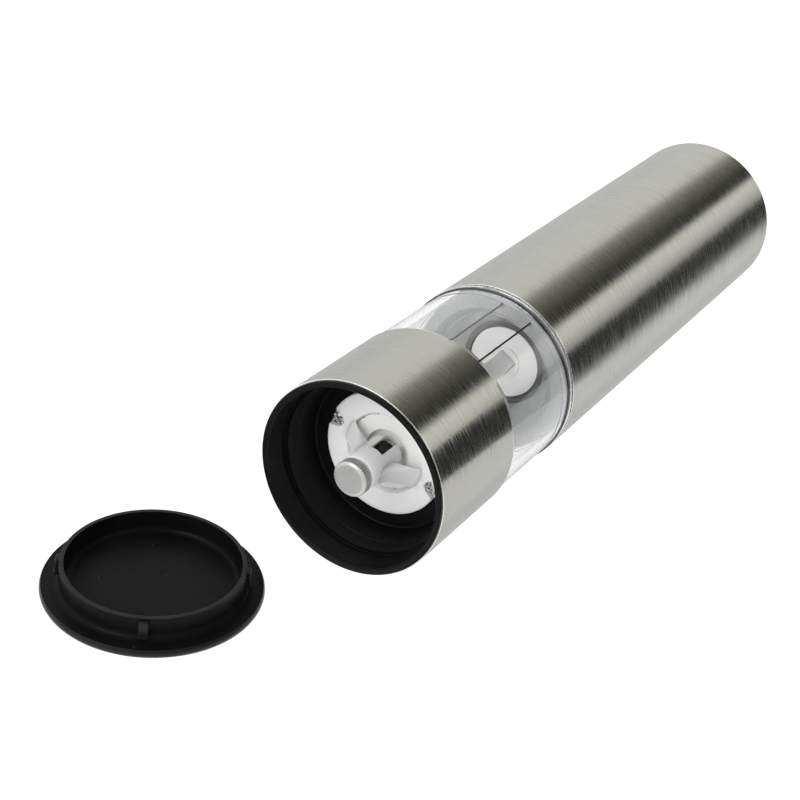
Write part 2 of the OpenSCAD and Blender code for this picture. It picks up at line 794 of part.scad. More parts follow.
// Plate between the gear case and the motor, seated on the chassis's ledge
cover_screw_inset = 1.6;
cover_screw_ring = chassis_in - cover_screw_inset;
module gear_cover() {
  color(white) lay() difference() {
    tube(small_r + addendum + free_gap, chassis_in - run_gap, cover_z, motor_z);
    around(2, 90) {
      post(motor_screw_d / 2 + run_gap, cover_z - eps, motor_z + eps, motor_screw_ring);
      post(motor_head_r + run_gap, cover_z - eps, cover_z + motor_head_h, motor_screw_ring);
    }
    around(3, 60) post(screw_d / 2 + run_gap, cover_z - eps, motor_z + eps, cover_screw_ring);
  }
}

// Three screws through the cover into the chassis's ledge
ledge_t = 3;
cover_head_r = 1.5;
cover_head_h = 1.2;
module cover_screws() {
  color(bright) lay() around(3, 60) {
    post(screw_d / 2, cover_z - ledge_t + free_gap, motor_z + eps, cover_screw_ring);
    post(cover_head_r, motor_z, motor_z + cover_head_h, cover_screw_ring);
  }
}

// Black tube between the bulkhead and the battery case, with three windows round the motor
module chassis_tube() {
  window_edge = 6;
  window_low = motor_z + window_edge;
  window_w = 16;
  ledge_in = chassis_in - ledge_t;
  color(black) lay() difference() {
    turned([[chassis_in, chassis_z], [chassis_r, chassis_z], [chassis_r, case_z], [chassis_in, case_z],
            [chassis_in, cover_z], [ledge_in, cover_z], [ledge_in, cover_z - ledge_t],
            [chassis_in, cover_z - 2 * ledge_t]]);
    around(3) translate([chassis_in - chassis_wall, -window_w / 2, window_low])
      cube([3 * chassis_wall, window_w, case_z - window_low - window_edge]);
    around(3, 60) post(screw_d / 2 + run_gap, cover_z - ledge_t, cover_z + eps, cover_screw_ring);
  }
}

// Cage for the cells: two end discs joined by crossed webs
module battery_case() {
  web_len = contact_top - contact_z;
  color(black) lay() {
    post(chassis_r, case_z, contact_z);
    post(chassis_r - free_gap, contact_top, switch_z);
    intersection() {
      for (turn = [0, 90]) rotate(turn) translate([-chassis_r, -web_t / 2, contact_z - eps])
        cube([2 * chassis_r, web_t, web_len + 2 * eps]);
      post(chassis_r - free_gap, contact_z - eps, contact_top + eps);
    }
  }
}

// Four cells, nub up and nub down by turns
nub_len = 1.3;
nub_r = 2.75;
module aa_cells() {
  bare = cell_len - nub_len;
  color("#4a4f57") lay() for (k = [0:3]) {
    up = k % 2 == 0;
    low = contact_z + contact_t + (up ? contact_len : nub_len);
    nub = up ? low + bare - eps : low - nub_len;
    post(cell_d / 2, low, low + bare, cell_ring, 45 + 90 * k);
    post(nub_r, nub, nub + nub_len + eps, cell_ring, 45 + 90 * k);
  }
}

// Springs at the cells' flat ends
contact_wire = 0.6;
contact_turns = 2.5;
contact_r = 3;
module contact_springs() {
  color(bright) lay() for (k = [0:3]) {
    low = k % 2 == 0 ? contact_z + contact_t : contact_top - contact_t - contact_len;
    rotate(45 + 90 * k) translate([cell_ring, 0, 0])
      coil(contact_r, contact_wire, low, low + contact_len, contact_turns);
  }
}

// Square contact plate at each end of each cell
plate_w = 9;
module contact_plates() {
  color(bright) lay() for (low = [contact_z, contact_top - contact_t])
    around(4, 45) translate([cell_ring - plate_w / 2, -plate_w / 2, low]) cube([plate_w, plate_w, contact_t]);
}

// Switch on the battery case
plunger_d = 3.5;
plunger_hold = 1;
module switch_body() {
  color("#2b2b2d") lay() difference() {
    translate([-switch_w / 2, -switch_w / 2, switch_z]) cube([switch_w, switch_w, switch_h]);
    post(plunger_d / 2 + run_gap, switch_top - plunger_hold - button_travel - free_gap, switch_top + eps);
  }
}

// Plunger of the switch
module switch_plunger() {
  color("#b23a30") lay() post(plunger_d / 2, switch_top - plunger_hold, switch_top + plunger_rise);
}

// Long brushed steel tube over the motor unit
module upper_sleeve() {
  color(steel) lay() tube(sleeve_in, casing_r, seam_z, top_z);
}

// Black plug in the top end: plate, button guide and spring seat
seat_t = 1.5;
stem_wall = 1.2;
stem_r = plunger_d / 2 + stem_wall;
guide_wall = 1.6;
module top_cap() {
  hole_r = button_d / 2 + slide_gap;
  color(black) lay()
    turned([[stem_r + slide_gap, guide_z], [guide_r + guide_wall, guide_z],
            [guide_r + guide_wall, top_z - top_t], [barrel_r - chassis_wall, top_z - top_t],
            [barrel_r - chassis_wall, guide_z], [barrel_r, guide_z], [barrel_r, top_z], [hole_r, top_z],
            [hole_r, top_z - top_t], [guide_r, top_z - top_t], [guide_r, guide_z + seat_t],
            [stem_r + slide_gap, guide_z + seat_t]]);
}

// Push button: crowned head, flange under the plate, stem down to the plunger
button_flange_t = 1.5;
module push_button() {
  radius = button_d / 2;
  flange_top = top_z - top_t - slide_gap;
  flange_low = flange_top - button_flange_t;
  rim_r = guide_r - slide_gap;
  stem_z = switch_top + plunger_rise + run_gap;
  edge = 0.8;
  crown = 0.4;
  edge_z = high_y - crown - edge;
  color("#c4c4c1") lay()
    turned(concat([[0, stem_z], [stem_r, stem_z], [stem_r, flange_low], [rim_r, flange_low],
                   [rim_r, flange_top], [radius, flange_top], [radius, edge_z]],
                  [for (t = [0:30:90]) [radius - edge * (1 - cos(t)), edge_z + edge * sin(t)]],
                  [[radius / 2, high_y - crown / 4], [0, high_y]]));
}

// Spring under the button's flange
button_wire = 0.6;
button_turns = 3;
module button_spring() {
  color(bright) lay()
    coil((stem_r + guide_r) / 2, button_wire, guide_z + seat_t,
         top_z - top_t - slide_gap - button_flange_t, button_turns);
}

// Loose cap, inner side up: flange with a rounded lower edge, ring wall and four lugs
lug_gap = 0.3;
module bottom_cap() {
  ring = mouth_r - cap_clear;
  edge = 1.6;
  color(black) translate([cap_place[0] - centre[0], cap_place[1] - centre[1], 0]) {
    turned(concat([[0, 0], [cap_r - edge, 0]],
                  [for (t = [0:15:90]) [cap_r - edge + edge * sin(t), edge * (1 - cos(t))]],
                  [[cap_r, cap_t], [ring, cap_t], [ring, cap_t + cap_wall_h],
                   [ring - cap_wall, cap_t + cap_wall_h], [ring - cap_wall, cap_t], [0, cap_t]]));
    around(4, lug_turn) translate([ring - cap_wall / 2, -lug_w / 2, cap_t + cap_wall_h - lug_h])
      cube([cap_wall / 2 + lug_out, lug_w, lug_h - lug_gap]);
  }
}

lower_sleeve();
lower_barrel();
spice_chamber();
grinder_base();
base_screws();
burr_ring();
led_lamp();
lamp_board();
lamp_rods();
adjuster_knob();
thrust_cup();
drive_shaft();
burr_cone();
bulkhead();
seal_ring();
lamp_contacts();
gearbox_housing();
output_carrier();
for (k = [1:3])
  planet(k - 1, planet2_z);
first_carrier();
for (k = [1:3])
  planet(k - 1, planet1_z);
motor_pinion();
motor_armature();
motor_can();
motor_magnets();
motor_end_cap();
motor_terminals();
motor_screws();
gear_cover();
cover_screws();
chassis_tube();
battery_case();
aa_cells();
contact_springs();
contact_plates();
switch_body();
switch_plunger();
upper_sleeve();
top_cap();
push_button();
button_spring();
bottom_cap();
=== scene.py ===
"""Looks of an electric pepper mill that lies on its side, its bottom cap beside the open mouth."""

import logging
import math
from dataclasses import dataclass, field
from enum import Enum

import bmesh
import bpy
import numpy as np
from mathutils import Matrix, Vector


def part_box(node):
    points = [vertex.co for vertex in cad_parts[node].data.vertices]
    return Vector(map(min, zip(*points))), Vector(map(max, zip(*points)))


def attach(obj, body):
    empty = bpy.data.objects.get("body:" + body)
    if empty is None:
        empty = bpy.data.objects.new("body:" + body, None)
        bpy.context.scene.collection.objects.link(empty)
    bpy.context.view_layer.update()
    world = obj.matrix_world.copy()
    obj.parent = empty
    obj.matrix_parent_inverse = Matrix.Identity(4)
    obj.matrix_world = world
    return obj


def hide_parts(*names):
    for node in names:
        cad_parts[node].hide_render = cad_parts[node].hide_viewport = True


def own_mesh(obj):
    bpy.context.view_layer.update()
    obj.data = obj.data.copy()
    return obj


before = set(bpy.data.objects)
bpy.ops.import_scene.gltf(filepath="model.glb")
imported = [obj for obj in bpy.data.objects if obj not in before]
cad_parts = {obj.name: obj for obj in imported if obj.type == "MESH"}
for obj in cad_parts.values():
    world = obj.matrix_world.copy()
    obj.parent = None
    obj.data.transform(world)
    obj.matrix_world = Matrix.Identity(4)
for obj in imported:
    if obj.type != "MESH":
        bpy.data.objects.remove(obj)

log = logging.getLogger("pepper_mill")
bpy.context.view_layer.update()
MM = 0.001
TAU = 2.0 * math.pi
Triple = tuple[float, float, float]

# Meshing, in metres: points closer than this are one, and edges shorter than this are dropped.
SAME_PLACE = 2e-7
SLIVER = 1e-8

# Eased corners: the largest share of a side that a corner takes, how far the guard points stand from it as
# a multiple of its setback, and the distance in millimetres under which two points of an outline are one.
LARGEST_EASE = 0.42
GUARD = 1.15
SAME_POINT = 1e-5

# Finishes: the middle stretch of a noise that is spread over its whole range, the octaves of the two noises,
# the roughness of a clear coat, and how far red, green and blue light go under a white surface, in metres.
NOISE_MIDDLE = (0.3, 0.7)
COLOUR_OCTAVES = 4.0
RELIEF_OCTAVES = 3.0
COAT_ROUGHNESS = 0.08
SCATTER = (0.002, 0.0019, 0.0018)


class Girth(Enum):
    """How finely a turned piece is divided round its axis."""

    COARSE = 48
    FINE = 128
    SMOOTH = 256


def once_round(count: int) -> np.ndarray:
    """Evenly spaced angles once round, in radians."""
    return np.arange(count) * TAU / count


def triangle(phase: np.ndarray) -> np.ndarray:
    """Triangle wave: 1 at each whole number and 0 halfway between two."""
    return np.abs(phase % 1.0 - 0.5) * 2.0


def signed_power(value: np.ndarray, power: float) -> np.ndarray:
    """Value raised to a power, with its sign kept."""
    return np.sign(value) * np.abs(value) ** power


@dataclass(frozen=True)
class Patch:
    """A surface worked out on a grid of points.

    Args:
        points: rows x columns x 3 array of places in metres.
        wrap_rows: the last row joins the first.
        wrap_columns: the last column joins the first.
        holes: first and last row, first and last column of each opening, whose faces are left out.
    """

    points: np.ndarray
    wrap_rows: bool = False
    wrap_columns: bool = True
    holes: tuple[tuple[int, int, int, int], ...] = ()

    def quads(self, first: int) -> np.ndarray:
        """Corner numbers of every face, counted from the patch's first vertex.

        Args:
            first: number of the patch's first vertex in the mesh.

        Returns:
            Array of four corner numbers per face.
        """
        row, column = self.cells()
        rows, columns = self.points.shape[:2]
        after, beside = (row + 1) % rows, (column + 1) % columns
        corners = [(row, column), (after, column), (after, beside), (row, beside)]
        return first + np.stack([r * columns + c for r, c in corners], -1)

    def cells(self) -> tuple[np.ndarray, np.ndarray]:
        """Finds the first corner of each face that isn't in an opening.

        Returns:
            The corners' row numbers and column numbers.
        """
        rows, columns = self.points.shape[:2]
        grid = np.meshgrid(np.arange(rows - (not self.wrap_rows)),
                           np.arange(columns - (not self.wrap_columns)), indexing="ij")
        row, column = grid[0].ravel(), grid[1].ravel()
        keep = np.ones(len(row), bool)
        for top, bottom, left, right in self.holes:
            keep &= (row < top) | (row >= bottom) | (column < left) | (column >= right)
        return row[keep], column[keep]

    def layout(self) -> np.ndarray:
        """Flat layout of the faces: u is the mean length along the rows in metres, v a share of the girth.

        Returns:
            Array of four (u, v) pairs per face.
        """
        row, column = self.cells()
        step = np.linalg.norm(np.diff(self.points, axis=0, append=self.points[:1]), axis=-1).mean(1)
        along = np.concatenate([[0.0], np.cumsum(step)])
        share = np.arange(self.points.shape[1] + 1) / self.points.shape[1]
        u = np.stack([along[row], along[row + 1], along[row + 1], along[row]], -1)
        v = np.stack([share[column], share[column], share[column + 1], share[column + 1]], -1)
        return np.stack([u, v], -1)


def surface(name: str, patches: list[Patch], sharp: float = 38.0) -> bpy.types.Object:
    """Joins patches into one mesh: touching points merge, faces turn outwards, sharp edges stay sharp.

    Args:
        name: name of the piece.
        patches: grids that meet along shared points.
        sharp: angle in degrees above which an edge isn't smoothed.

    Returns:
        The new piece, at the origin.
    """
    sizes = [patch.points.shape[0] * patch.points.shape[1] for patch in patches]
    starts = np.concatenate([[0], np.cumsum(sizes)])
    points = np.concatenate([patch.points.reshape(-1, 3) for patch in patches])
    quads = np.concatenate([patch.quads(start) for patch, start in zip(patches, starts)])
    layout = np.concatenate([patch.layout() for patch in patches])
    mesh = bpy.data.meshes.new(name)
    mesh.from_pydata(points.tolist(), [], quads.tolist())
    mesh.uv_layers.new(name="girth").data.foreach_set("uv", layout.astype(np.float32).ravel())
    work = bmesh.new()
    work.from_mesh(mesh)
    bmesh.ops.remove_doubles(work, verts=work.verts, dist=SAME_PLACE)
    bmesh.ops.dissolve_degenerate(work, edges=work.edges, dist=SLIVER)
    bmesh.ops.recalc_face_normals(work, faces=work.faces)
    work.to_mesh(mesh)
    work.free()
    mesh.shade_smooth()
    mesh.set_sharp_from_angle(angle=math.radians(sharp))
    piece = bpy.data.objects.new(name, mesh)
    bpy.context.scene.collection.objects.link(piece)
    return piece


def rounded(corners: list[Triple], closed: bool = True, steps: int = 5) -> np.ndarray:
    """Outline with eased corners: a corner C gives way to the parabola (1-s)^2 A + 2s(1-s) C + s^2 B.

    A and B lie the corner's setback away along its two sides. A guard point follows on each side, so that
    the smoothing of the small curve doesn't spread over the flat beside it.

    Args:
        corners: (radius, height, setback) of each corner, in millimetres.
        closed: the outline returns to its start. An open outline starts and ends on the axis.
        steps: points on each eased corner.

    Returns:
        Array of (radius, height) pairs in millimetres.
    """
    data = np.asarray(corners, float)
    point, setback = data[:, :2], data[:, 2:].copy()
    if not closed:
        setback[[0, -1]] = 0.0
    sides = np.stack([np.roll(point, 1, 0) - point, np.roll(point, -1, 0) - point])
    lengths = np.linalg.norm(sides, axis=-1, keepdims=True) + 1e-12
    ease = np.minimum(setback, LARGEST_EASE * lengths.min(0))
    to_start, to_end = ease * (sides / lengths)
    start, end = point + to_start, point + to_end
    s = np.linspace(0.0, 1.0, steps)[None, :, None]
    curve = (1 - s) ** 2 * start[:, None] + 2 * s * (1 - s) * point[:, None] + s**2 * end[:, None]
    guards = [(point + GUARD * way)[:, None] for way in (to_start, to_end)]
    line = np.concatenate([guards[0], curve, guards[1]], 1).reshape(-1, 2)
    fresh = np.linalg.norm(np.diff(line, axis=0, prepend=line[:1] - 1.0), axis=1) > SAME_POINT
    return line[fresh]


@dataclass(frozen=True)
class Axis:
    """A line along +Y that pieces are turned about.

    Args:
        x: place across, in metres.
        z: height, in metres.
        mouth: place along Y of the mill's mouth, in metres.
    """

    x: float
    z: float
    mouth: float

    def at(self, radius: np.ndarray, angle: np.ndarray, along: np.ndarray) -> np.ndarray:
        """Places round the axis: r (cos t, sin t) across it, and a depth along it.

        Args:
            radius: distance from the axis, in millimetres.
            angle: angle from +X towards +Z, in radians.
            along: depth from the mouth, in millimetres.

        Returns:
            Array of places in metres.
        """
        x = self.x + MM * radius * np.cos(angle)
        z = self.z + MM * radius * np.sin(angle)
        return np.stack(np.broadcast_arrays(x, self.mouth + MM * along, z), -1)

    def turned(self, outline: np.ndarray, girth: Girth = Girth.FINE, closed: bool = True) -> Patch:
        """Carries an outline round the axis: each point (r, a) becomes a circle of radius r at depth a.

        Args:
            outline: (radius, depth) pairs in millimetres.
            girth: divisions round the axis.
            closed: the outline is a closed ring.

        Returns:
            The turned surface.
        """
        angle = once_round(girth.value)[None]
        return Patch(self.at(outline[:, :1], angle, outline[:, 1:]), wrap_rows=closed)

    def lathe(self, name: str, corners: list[Triple], girth: Girth = Girth.FINE,
              closed: bool = True) -> bpy.types.Object:
        """Turns a new piece from the corners of its outline."""
        return surface(name, [self.turned(rounded(corners, closed), girth, closed)])

    def beside(self, radius: float, degrees: float) -> "Axis":
        """A parallel line at a radius in millimetres and an angle from this one."""
        turn, reach = math.radians(degrees), MM * radius
        return Axis(self.x + reach * math.cos(turn), self.z + reach * math.sin(turn), self.mouth)


def mill_axis() -> Axis:
    """Reads the mill's axis and its mouth from the lower sleeve's and the barrel's boxes.

    Returns:
        The mill's axis.
    """
    low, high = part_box("lower_sleeve")
    mouth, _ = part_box("lower_barrel")
    return Axis((low.x + high.x) / 2, (low.z + high.z) / 2, mouth.y)


def block(centre: np.ndarray, half: np.ndarray, turn: float, power: float = 0.16, count: int = 24) -> Patch:
    """Eased block: a super-ellipsoid, whose sines and cosines are raised to a small power.

    Args:
        centre: middle of the block, in metres.
        half: half of its sizes, in metres.
        turn: angle about Z, in radians.
        power: 1 gives an ellipsoid, and smaller values a sharper block.
        count: divisions from pole to pole.

    Returns:
        The block's surface, with its poles at top and bottom.
    """
    rise = np.linspace(-math.pi / 2, math.pi / 2, count)[:, None]
    spin = once_round(2 * count)[None]
    level = signed_power(np.cos(rise), power)
    local = np.broadcast_arrays(level * signed_power(np.cos(spin), power) * half[0],
                                level * signed_power(np.sin(spin), power) * half[1],
                                signed_power(np.sin(rise), power) * half[2])
    cosine, sine = math.cos(turn), math.sin(turn)
    rotation = np.array([[cosine, sine, 0.0], [-sine, cosine, 0.0], [0.0, 0.0, 1.0]])
    return Patch(np.stack(local, -1) @ rotation + centre)


def coil(axis: Axis, radius: float, wire: float, span: tuple[float, float], turns: float,
         rings: int = 28, sides: int = 12) -> Patch:
    """Round wire along a helix: the wire's circle stands on the directions away from the axis and along it.

    Args:
        axis: line that the coil goes round.
        radius: middle radius of the coil, in millimetres.
        wire: diameter of the wire.
        span: depths at which the coil starts and ends.
        turns: number of turns.
        rings: divisions of each turn.
        sides: divisions round the wire.

    Returns:
        The wire's surface, closed at both ends.
    """
    low, high = span
    steps = int(turns * rings) + 1
    share = np.concatenate([[0.0], np.linspace(0.0, 1.0, steps), [1.0]])[:, None]
    thick = np.concatenate([[0.0], np.ones(steps), [0.0]])[:, None] * wire / 2
    spin = once_round(sides)[None]
    out = radius + thick * np.cos(spin)
    along = low + wire / 2 + (high - low - wire) * share + thick * np.sin(spin)
    return Patch(axis.at(out, np.broadcast_to(-share * turns * TAU, out.shape), along))


@dataclass(frozen=True)
class Finish:
    """A procedural finish: colour and roughness that drift with a grain, and a fine relief.

    Args:
        name: name of the material.
        colour: colour of one end of the drift.
        drift: colour of the other end.
        rough: lowest and highest roughness.
        metallic: 1 for a metal.
        grain: pattern scale along x, y and z, per metre.
        fine: scale of the relief along x, y and z, per metre.
        relief: strength of the relief.
        depth: height of the relief, in metres.
        anisotropy: how much a brushed metal draws its highlights out.
        transmission: share of light that passes through.
        ior: index of refraction.
        shine: level of the surface's mirror reflection, 0.5 for common plastic.
        coat: strength of a clear coat.
        inner: strength of light scattered under the surface.
    """

    name: str
    colour: Triple
    drift: Triple
    rough: tuple[float, float] = (0.35, 0.45)
    metallic: float = 0.0
    grain: Triple = (220.0, 220.0, 220.0)
    fine: Triple = (2600.0, 2600.0, 2600.0)
    relief: float = 0.08
    depth: float = 0.00004
    anisotropy: float = 0.0
    transmission: float = 0.0
    ior: float = 1.47
    shine: float = 0.5
    coat: float = 0.0
    inner: float = 0.0

    def material(self) -> bpy.types.Material:
        """Builds the finish once, and gives the same material afterwards.

        Returns:
            The material.
        """
        found = bpy.data.materials.get(self.name)
        if found is not None:
            return found
        material = bpy.data.materials.new(self.name)
        material.use_nodes = True
        tree = material.node_tree
        shader = tree.nodes["Principled BSDF"]
        self.set_constants(shader)
        place = tree.nodes.new("ShaderNodeTexCoord")
        broad = self.noise(tree, place, self.grain, COLOUR_OCTAVES)
        mix = tree.nodes.new("ShaderNodeMix")
        mix.data_type = "RGBA"
        mix.inputs["A"].default_value = (*self.colour, 1.0)
        mix.inputs["B"].default_value = (*self.drift, 1.0)
        tree.links.new(self.spread(tree, broad, (0.0, 1.0)), mix.inputs["Factor"])
        tree.links.new(mix.outputs["Result"], shader.inputs["Base Color"])
        close = self.noise(tree, place, self.fine, RELIEF_OCTAVES)
        tree.links.new(self.spread(tree, close, self.rough), shader.inputs["Roughness"])
        bump = tree.nodes.new("ShaderNodeBump")
        bump.inputs["Strength"].default_value = self.relief
        bump.inputs["Distance"].default_value = self.depth
        tree.links.new(close.outputs["Fac"], bump.inputs["Height"])
        tree.links.new(bump.outputs["Normal"], shader.inputs["Normal"])
        if self.anisotropy:
            tangent = tree.nodes.new("ShaderNodeTangent")
            tangent.direction_type = "UV_MAP"
            tangent.uv_map = "girth"
            tree.links.new(tangent.outputs["Tangent"], shader.inputs["Tangent"])
        return material

    def set_constants(self, shader: bpy.types.Node) -> None:
        """Puts what is the same all over the surface on the shader's own sockets.

        Args:
            shader: the Principled shader.
        """
        constants = {"Metallic": self.metallic, "IOR": self.ior, "Specular IOR Level": self.shine,
                     "Anisotropic": self.anisotropy, "Transmission Weight": self.transmission,
                     "Coat Weight": self.coat, "Coat Roughness": COAT_ROUGHNESS,
                     "Subsurface Weight": self.inner, "Subsurface Radius": SCATTER, "Subsurface Scale": 1.0}
        for socket, value in constants.items():
            shader.inputs[socket].default_value = value

    @staticmethod
    def noise(tree: bpy.types.NodeTree, place: bpy.types.Node, scale: Triple,
              octaves: float) -> bpy.types.Node:
        """Noise on object coordinates, stretched by its scale along each axis.

        Args:
            tree: node tree of the material.
            place: texture coordinate node.
            scale: scale along x, y and z, per metre.
            octaves: octaves of the noise.

        Returns:
            The noise node.
        """
        mapping = tree.nodes.new("ShaderNodeMapping")
        mapping.inputs["Scale"].default_value = scale
        texture = tree.nodes.new("ShaderNodeTexNoise")
        texture.inputs["Scale"].default_value = 1.0
        texture.inputs["Detail"].default_value = octaves
        tree.links.new(place.outputs["Object"], mapping.inputs["Vector"])
        tree.links.new(mapping.outputs["Vector"], texture.inputs["Vector"])
        return texture

    @staticmethod
    def spread(tree: bpy.types.NodeTree, texture: bpy.types.Node,
               span: tuple[float, float]) -> bpy.types.NodeSocket:
        """Spreads the middle of a noise over a span of values.

        Args:
            tree: node tree of the material.
            texture: the noise node.
            span: lowest and highest value.

        Returns:
            The socket with the spread values.
        """
        node = tree.nodes.new("ShaderNodeMapRange")
        limits = zip(("From Min", "From Max", "To Min", "To Max"), (*NOISE_MIDDLE, *span))
        for socket, value in limits:
            node.inputs[socket].default_value = value
        tree.links.new(texture.outputs["Fac"], node.inputs["Value"])
        return node.outputs["Result"]


BRUSHED_STEEL = Finish("brushed_steel", (0.537, 0.531, 0.497), (0.562, 0.556, 0.522), (0.1, 0.34),
                       metallic=1.0, grain=(45.0, 1900.0, 45.0), fine=(110.0, 3200.0, 110.0), relief=0.2,
                       depth=0.00003, anisotropy=0.75)
# A lighter copy of the sleeves' steel: it paints the highlight along each sleeve's lower edge.
STEEL_EDGE_HIGHLIGHT = Finish("steel_edge_painted_highlight", (0.88, 0.88, 0.87), (0.94, 0.94, 0.93), (0.22, 0.34), metallic=1.0)
BLACK_PLASTIC = Finish("black_plastic", (0.003, 0.003, 0.0031), (0.0045, 0.0045, 0.0046), (0.34, 0.46),
                       fine=(5200.0, 5200.0, 5200.0), relief=0.1, shine=0.13)
BLACK_CAP = Finish("moulded_cap", (0.0035, 0.0036, 0.0035), (0.006, 0.0061, 0.006), (0.3, 0.45),
                   grain=(90.0, 90.0, 90.0), fine=(3800.0, 3800.0, 3800.0), relief=0.12, shine=0.085)
# A lighter, shinier copy of the cap's black plastic: it paints the highlights on the cap's edges, crest,
# lugs and marks.
CAP_EDGE_HIGHLIGHT = Finish("cap_edge_painted_highlight", (0.008, 0.008, 0.008), (0.012, 0.012, 0.0118), (0.2, 0.32), shine=0.19)
CLEAR_PLASTIC = Finish("clear_plastic", (0.995, 1.0, 1.0), (0.985, 0.99, 0.99), (0.0, 0.02),
                       transmission=1.0, ior=1.5, grain=(60.0, 60.0, 60.0), fine=(240.0, 240.0, 240.0),
                       relief=0.02, depth=0.00012)
WHITE_PLASTIC = Finish("white_plastic", (0.94, 0.94, 0.93), (0.96, 0.96, 0.95), (0.3, 0.42),
                       relief=0.05, inner=0.5)
CASE_WHITE = Finish("case_white", (0.93, 0.93, 0.925), (0.95, 0.95, 0.945), (0.3, 0.42), relief=0.05)
# A darker, glossier grey than the plug: it paints the dark reflected band on the plug's conical recess.
RECESS_REFLECTION_GREY = Finish("painted_recess_reflection", (0.33, 0.34, 0.345), (0.41, 0.42, 0.425), (0.14, 0.26), coat=0.4)
# A dark grey that paints the shadow in the gap between the plug and the gearbox's nose.
GAP_SHADE_GREY = Finish("painted_gap_shade", (0.1, 0.102, 0.104), (0.14, 0.142, 0.145), (0.25, 0.4))
MILKY_PLASTIC = Finish("milky_plastic", (0.56, 0.58, 0.59), (0.64, 0.655, 0.66), (0.25, 0.4),
                       transmission=0.45)
CERAMIC = Finish("burr_ceramic", (0.86, 0.86, 0.84), (0.9, 0.9, 0.885), (0.4, 0.55),
                 fine=(4200.0, 4200.0, 4200.0), relief=0.1, inner=0.25)
BRIGHT_STEEL = Finish("polished_steel", (0.6, 0.6, 0.59), (0.7, 0.7, 0.69), (0.16, 0.3), metallic=1.0)
SCREW_STEEL = Finish("screw_steel", (0.62, 0.62, 0.61), (0.72, 0.72, 0.71), (0.16, 0.28), metallic=1.0)
SHAFT_STEEL = Finish("shaft_steel", (0.74, 0.74, 0.73), (0.8, 0.8, 0.79), (0.42, 0.55), metallic=0.6,
                     grain=(500.0, 40.0, 500.0), fine=(6000.0, 160.0, 6000.0), relief=0.15)
TURNED_METAL = Finish("turned_metal", (0.66, 0.66, 0.65), (0.72, 0.72, 0.71), (0.37, 0.48), metallic=0.8,
                      relief=0.15)
# A near-black copy of steel: it paints the shade and dark reflections on the thrust cup, the knob's thread
# and the chamber's rods.
STEEL_PAINTED_DARK = Finish("steel_painted_shade", (0.02, 0.02, 0.021), (0.035, 0.035, 0.036), (0.3, 0.45),
                         metallic=1.0)
BRASS = Finish("plain_brass", (0.66, 0.48, 0.2), (0.75, 0.57, 0.27), (0.22, 0.34), metallic=1.0)
RUBBER = Finish("soft_rubber", (0.012, 0.012, 0.012), (0.022, 0.022, 0.022), (0.55, 0.7))
PLATED_CAN = Finish("plated_can", (0.58, 0.58, 0.56), (0.68, 0.68, 0.66), (0.24, 0.36), metallic=1.0,
                    grain=(60.0, 900.0, 60.0), fine=(120.0, 4000.0, 120.0))
LAMINATED_IRON = Finish("laminated_iron", (0.22, 0.19, 0.17), (0.38, 0.34, 0.3), (0.35, 0.5), metallic=1.0,
                        grain=(10.0, 2500.0, 10.0), fine=(20.0, 2500.0, 20.0), relief=0.5)
FERRITE = Finish("magnet_ferrite", (0.03, 0.03, 0.032), (0.055, 0.055, 0.058), (0.55, 0.7))
IVORY_PLASTIC = Finish("ivory_plastic", (0.68, 0.64, 0.55), (0.74, 0.71, 0.62), (0.35, 0.45))
LAMP_LENS = Finish("clear_lens", (0.93, 0.92, 0.84), (0.95, 0.94, 0.88), (0.04, 0.1),
                   transmission=0.85, ior=1.5)
GREEN_BOARD = Finish("green_board", (0.02, 0.1, 0.04), (0.03, 0.14, 0.06), (0.25, 0.35))
CELL_JACKET = Finish("plain_jacket", (0.035, 0.045, 0.07), (0.05, 0.062, 0.09), (0.2, 0.3),
                     metallic=0.4, coat=0.5)
RED_PLASTIC = Finish("red_plastic", (0.42, 0.03, 0.022), (0.48, 0.045, 0.032), (0.3, 0.4))
SILVER_BUTTON = Finish("silver_button", (0.5, 0.5, 0.49), (0.57, 0.57, 0.56), (0.3, 0.38), metallic=0.9,
                       fine=(5200.0, 5200.0, 5200.0))


def dress(piece: bpy.types.Object, finish: Finish) -> None:
    """Gives a piece one finish in place of any it has."""
    piece.data.materials.clear()
    piece.data.materials.append(finish.material())


def settle(piece: bpy.types.Object, finish: Finish, body: str, slot: str, *nodes: str) -> None:
    """Dresses a new piece, lets it ride on its body and puts it in place of the nodes it stands for.

    Args:
        piece: the new piece.
        finish: its finish.
        body: body that it moves with.
        slot: name of the slot for its finish; not used.
        nodes: nodes that it replaces.
    """
    dress(piece, finish)
    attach(piece, body)
    if nodes:
        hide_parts(*nodes)
    log.info("%s: %d faces on %s", piece.name, len(piece.data.polygons), body)


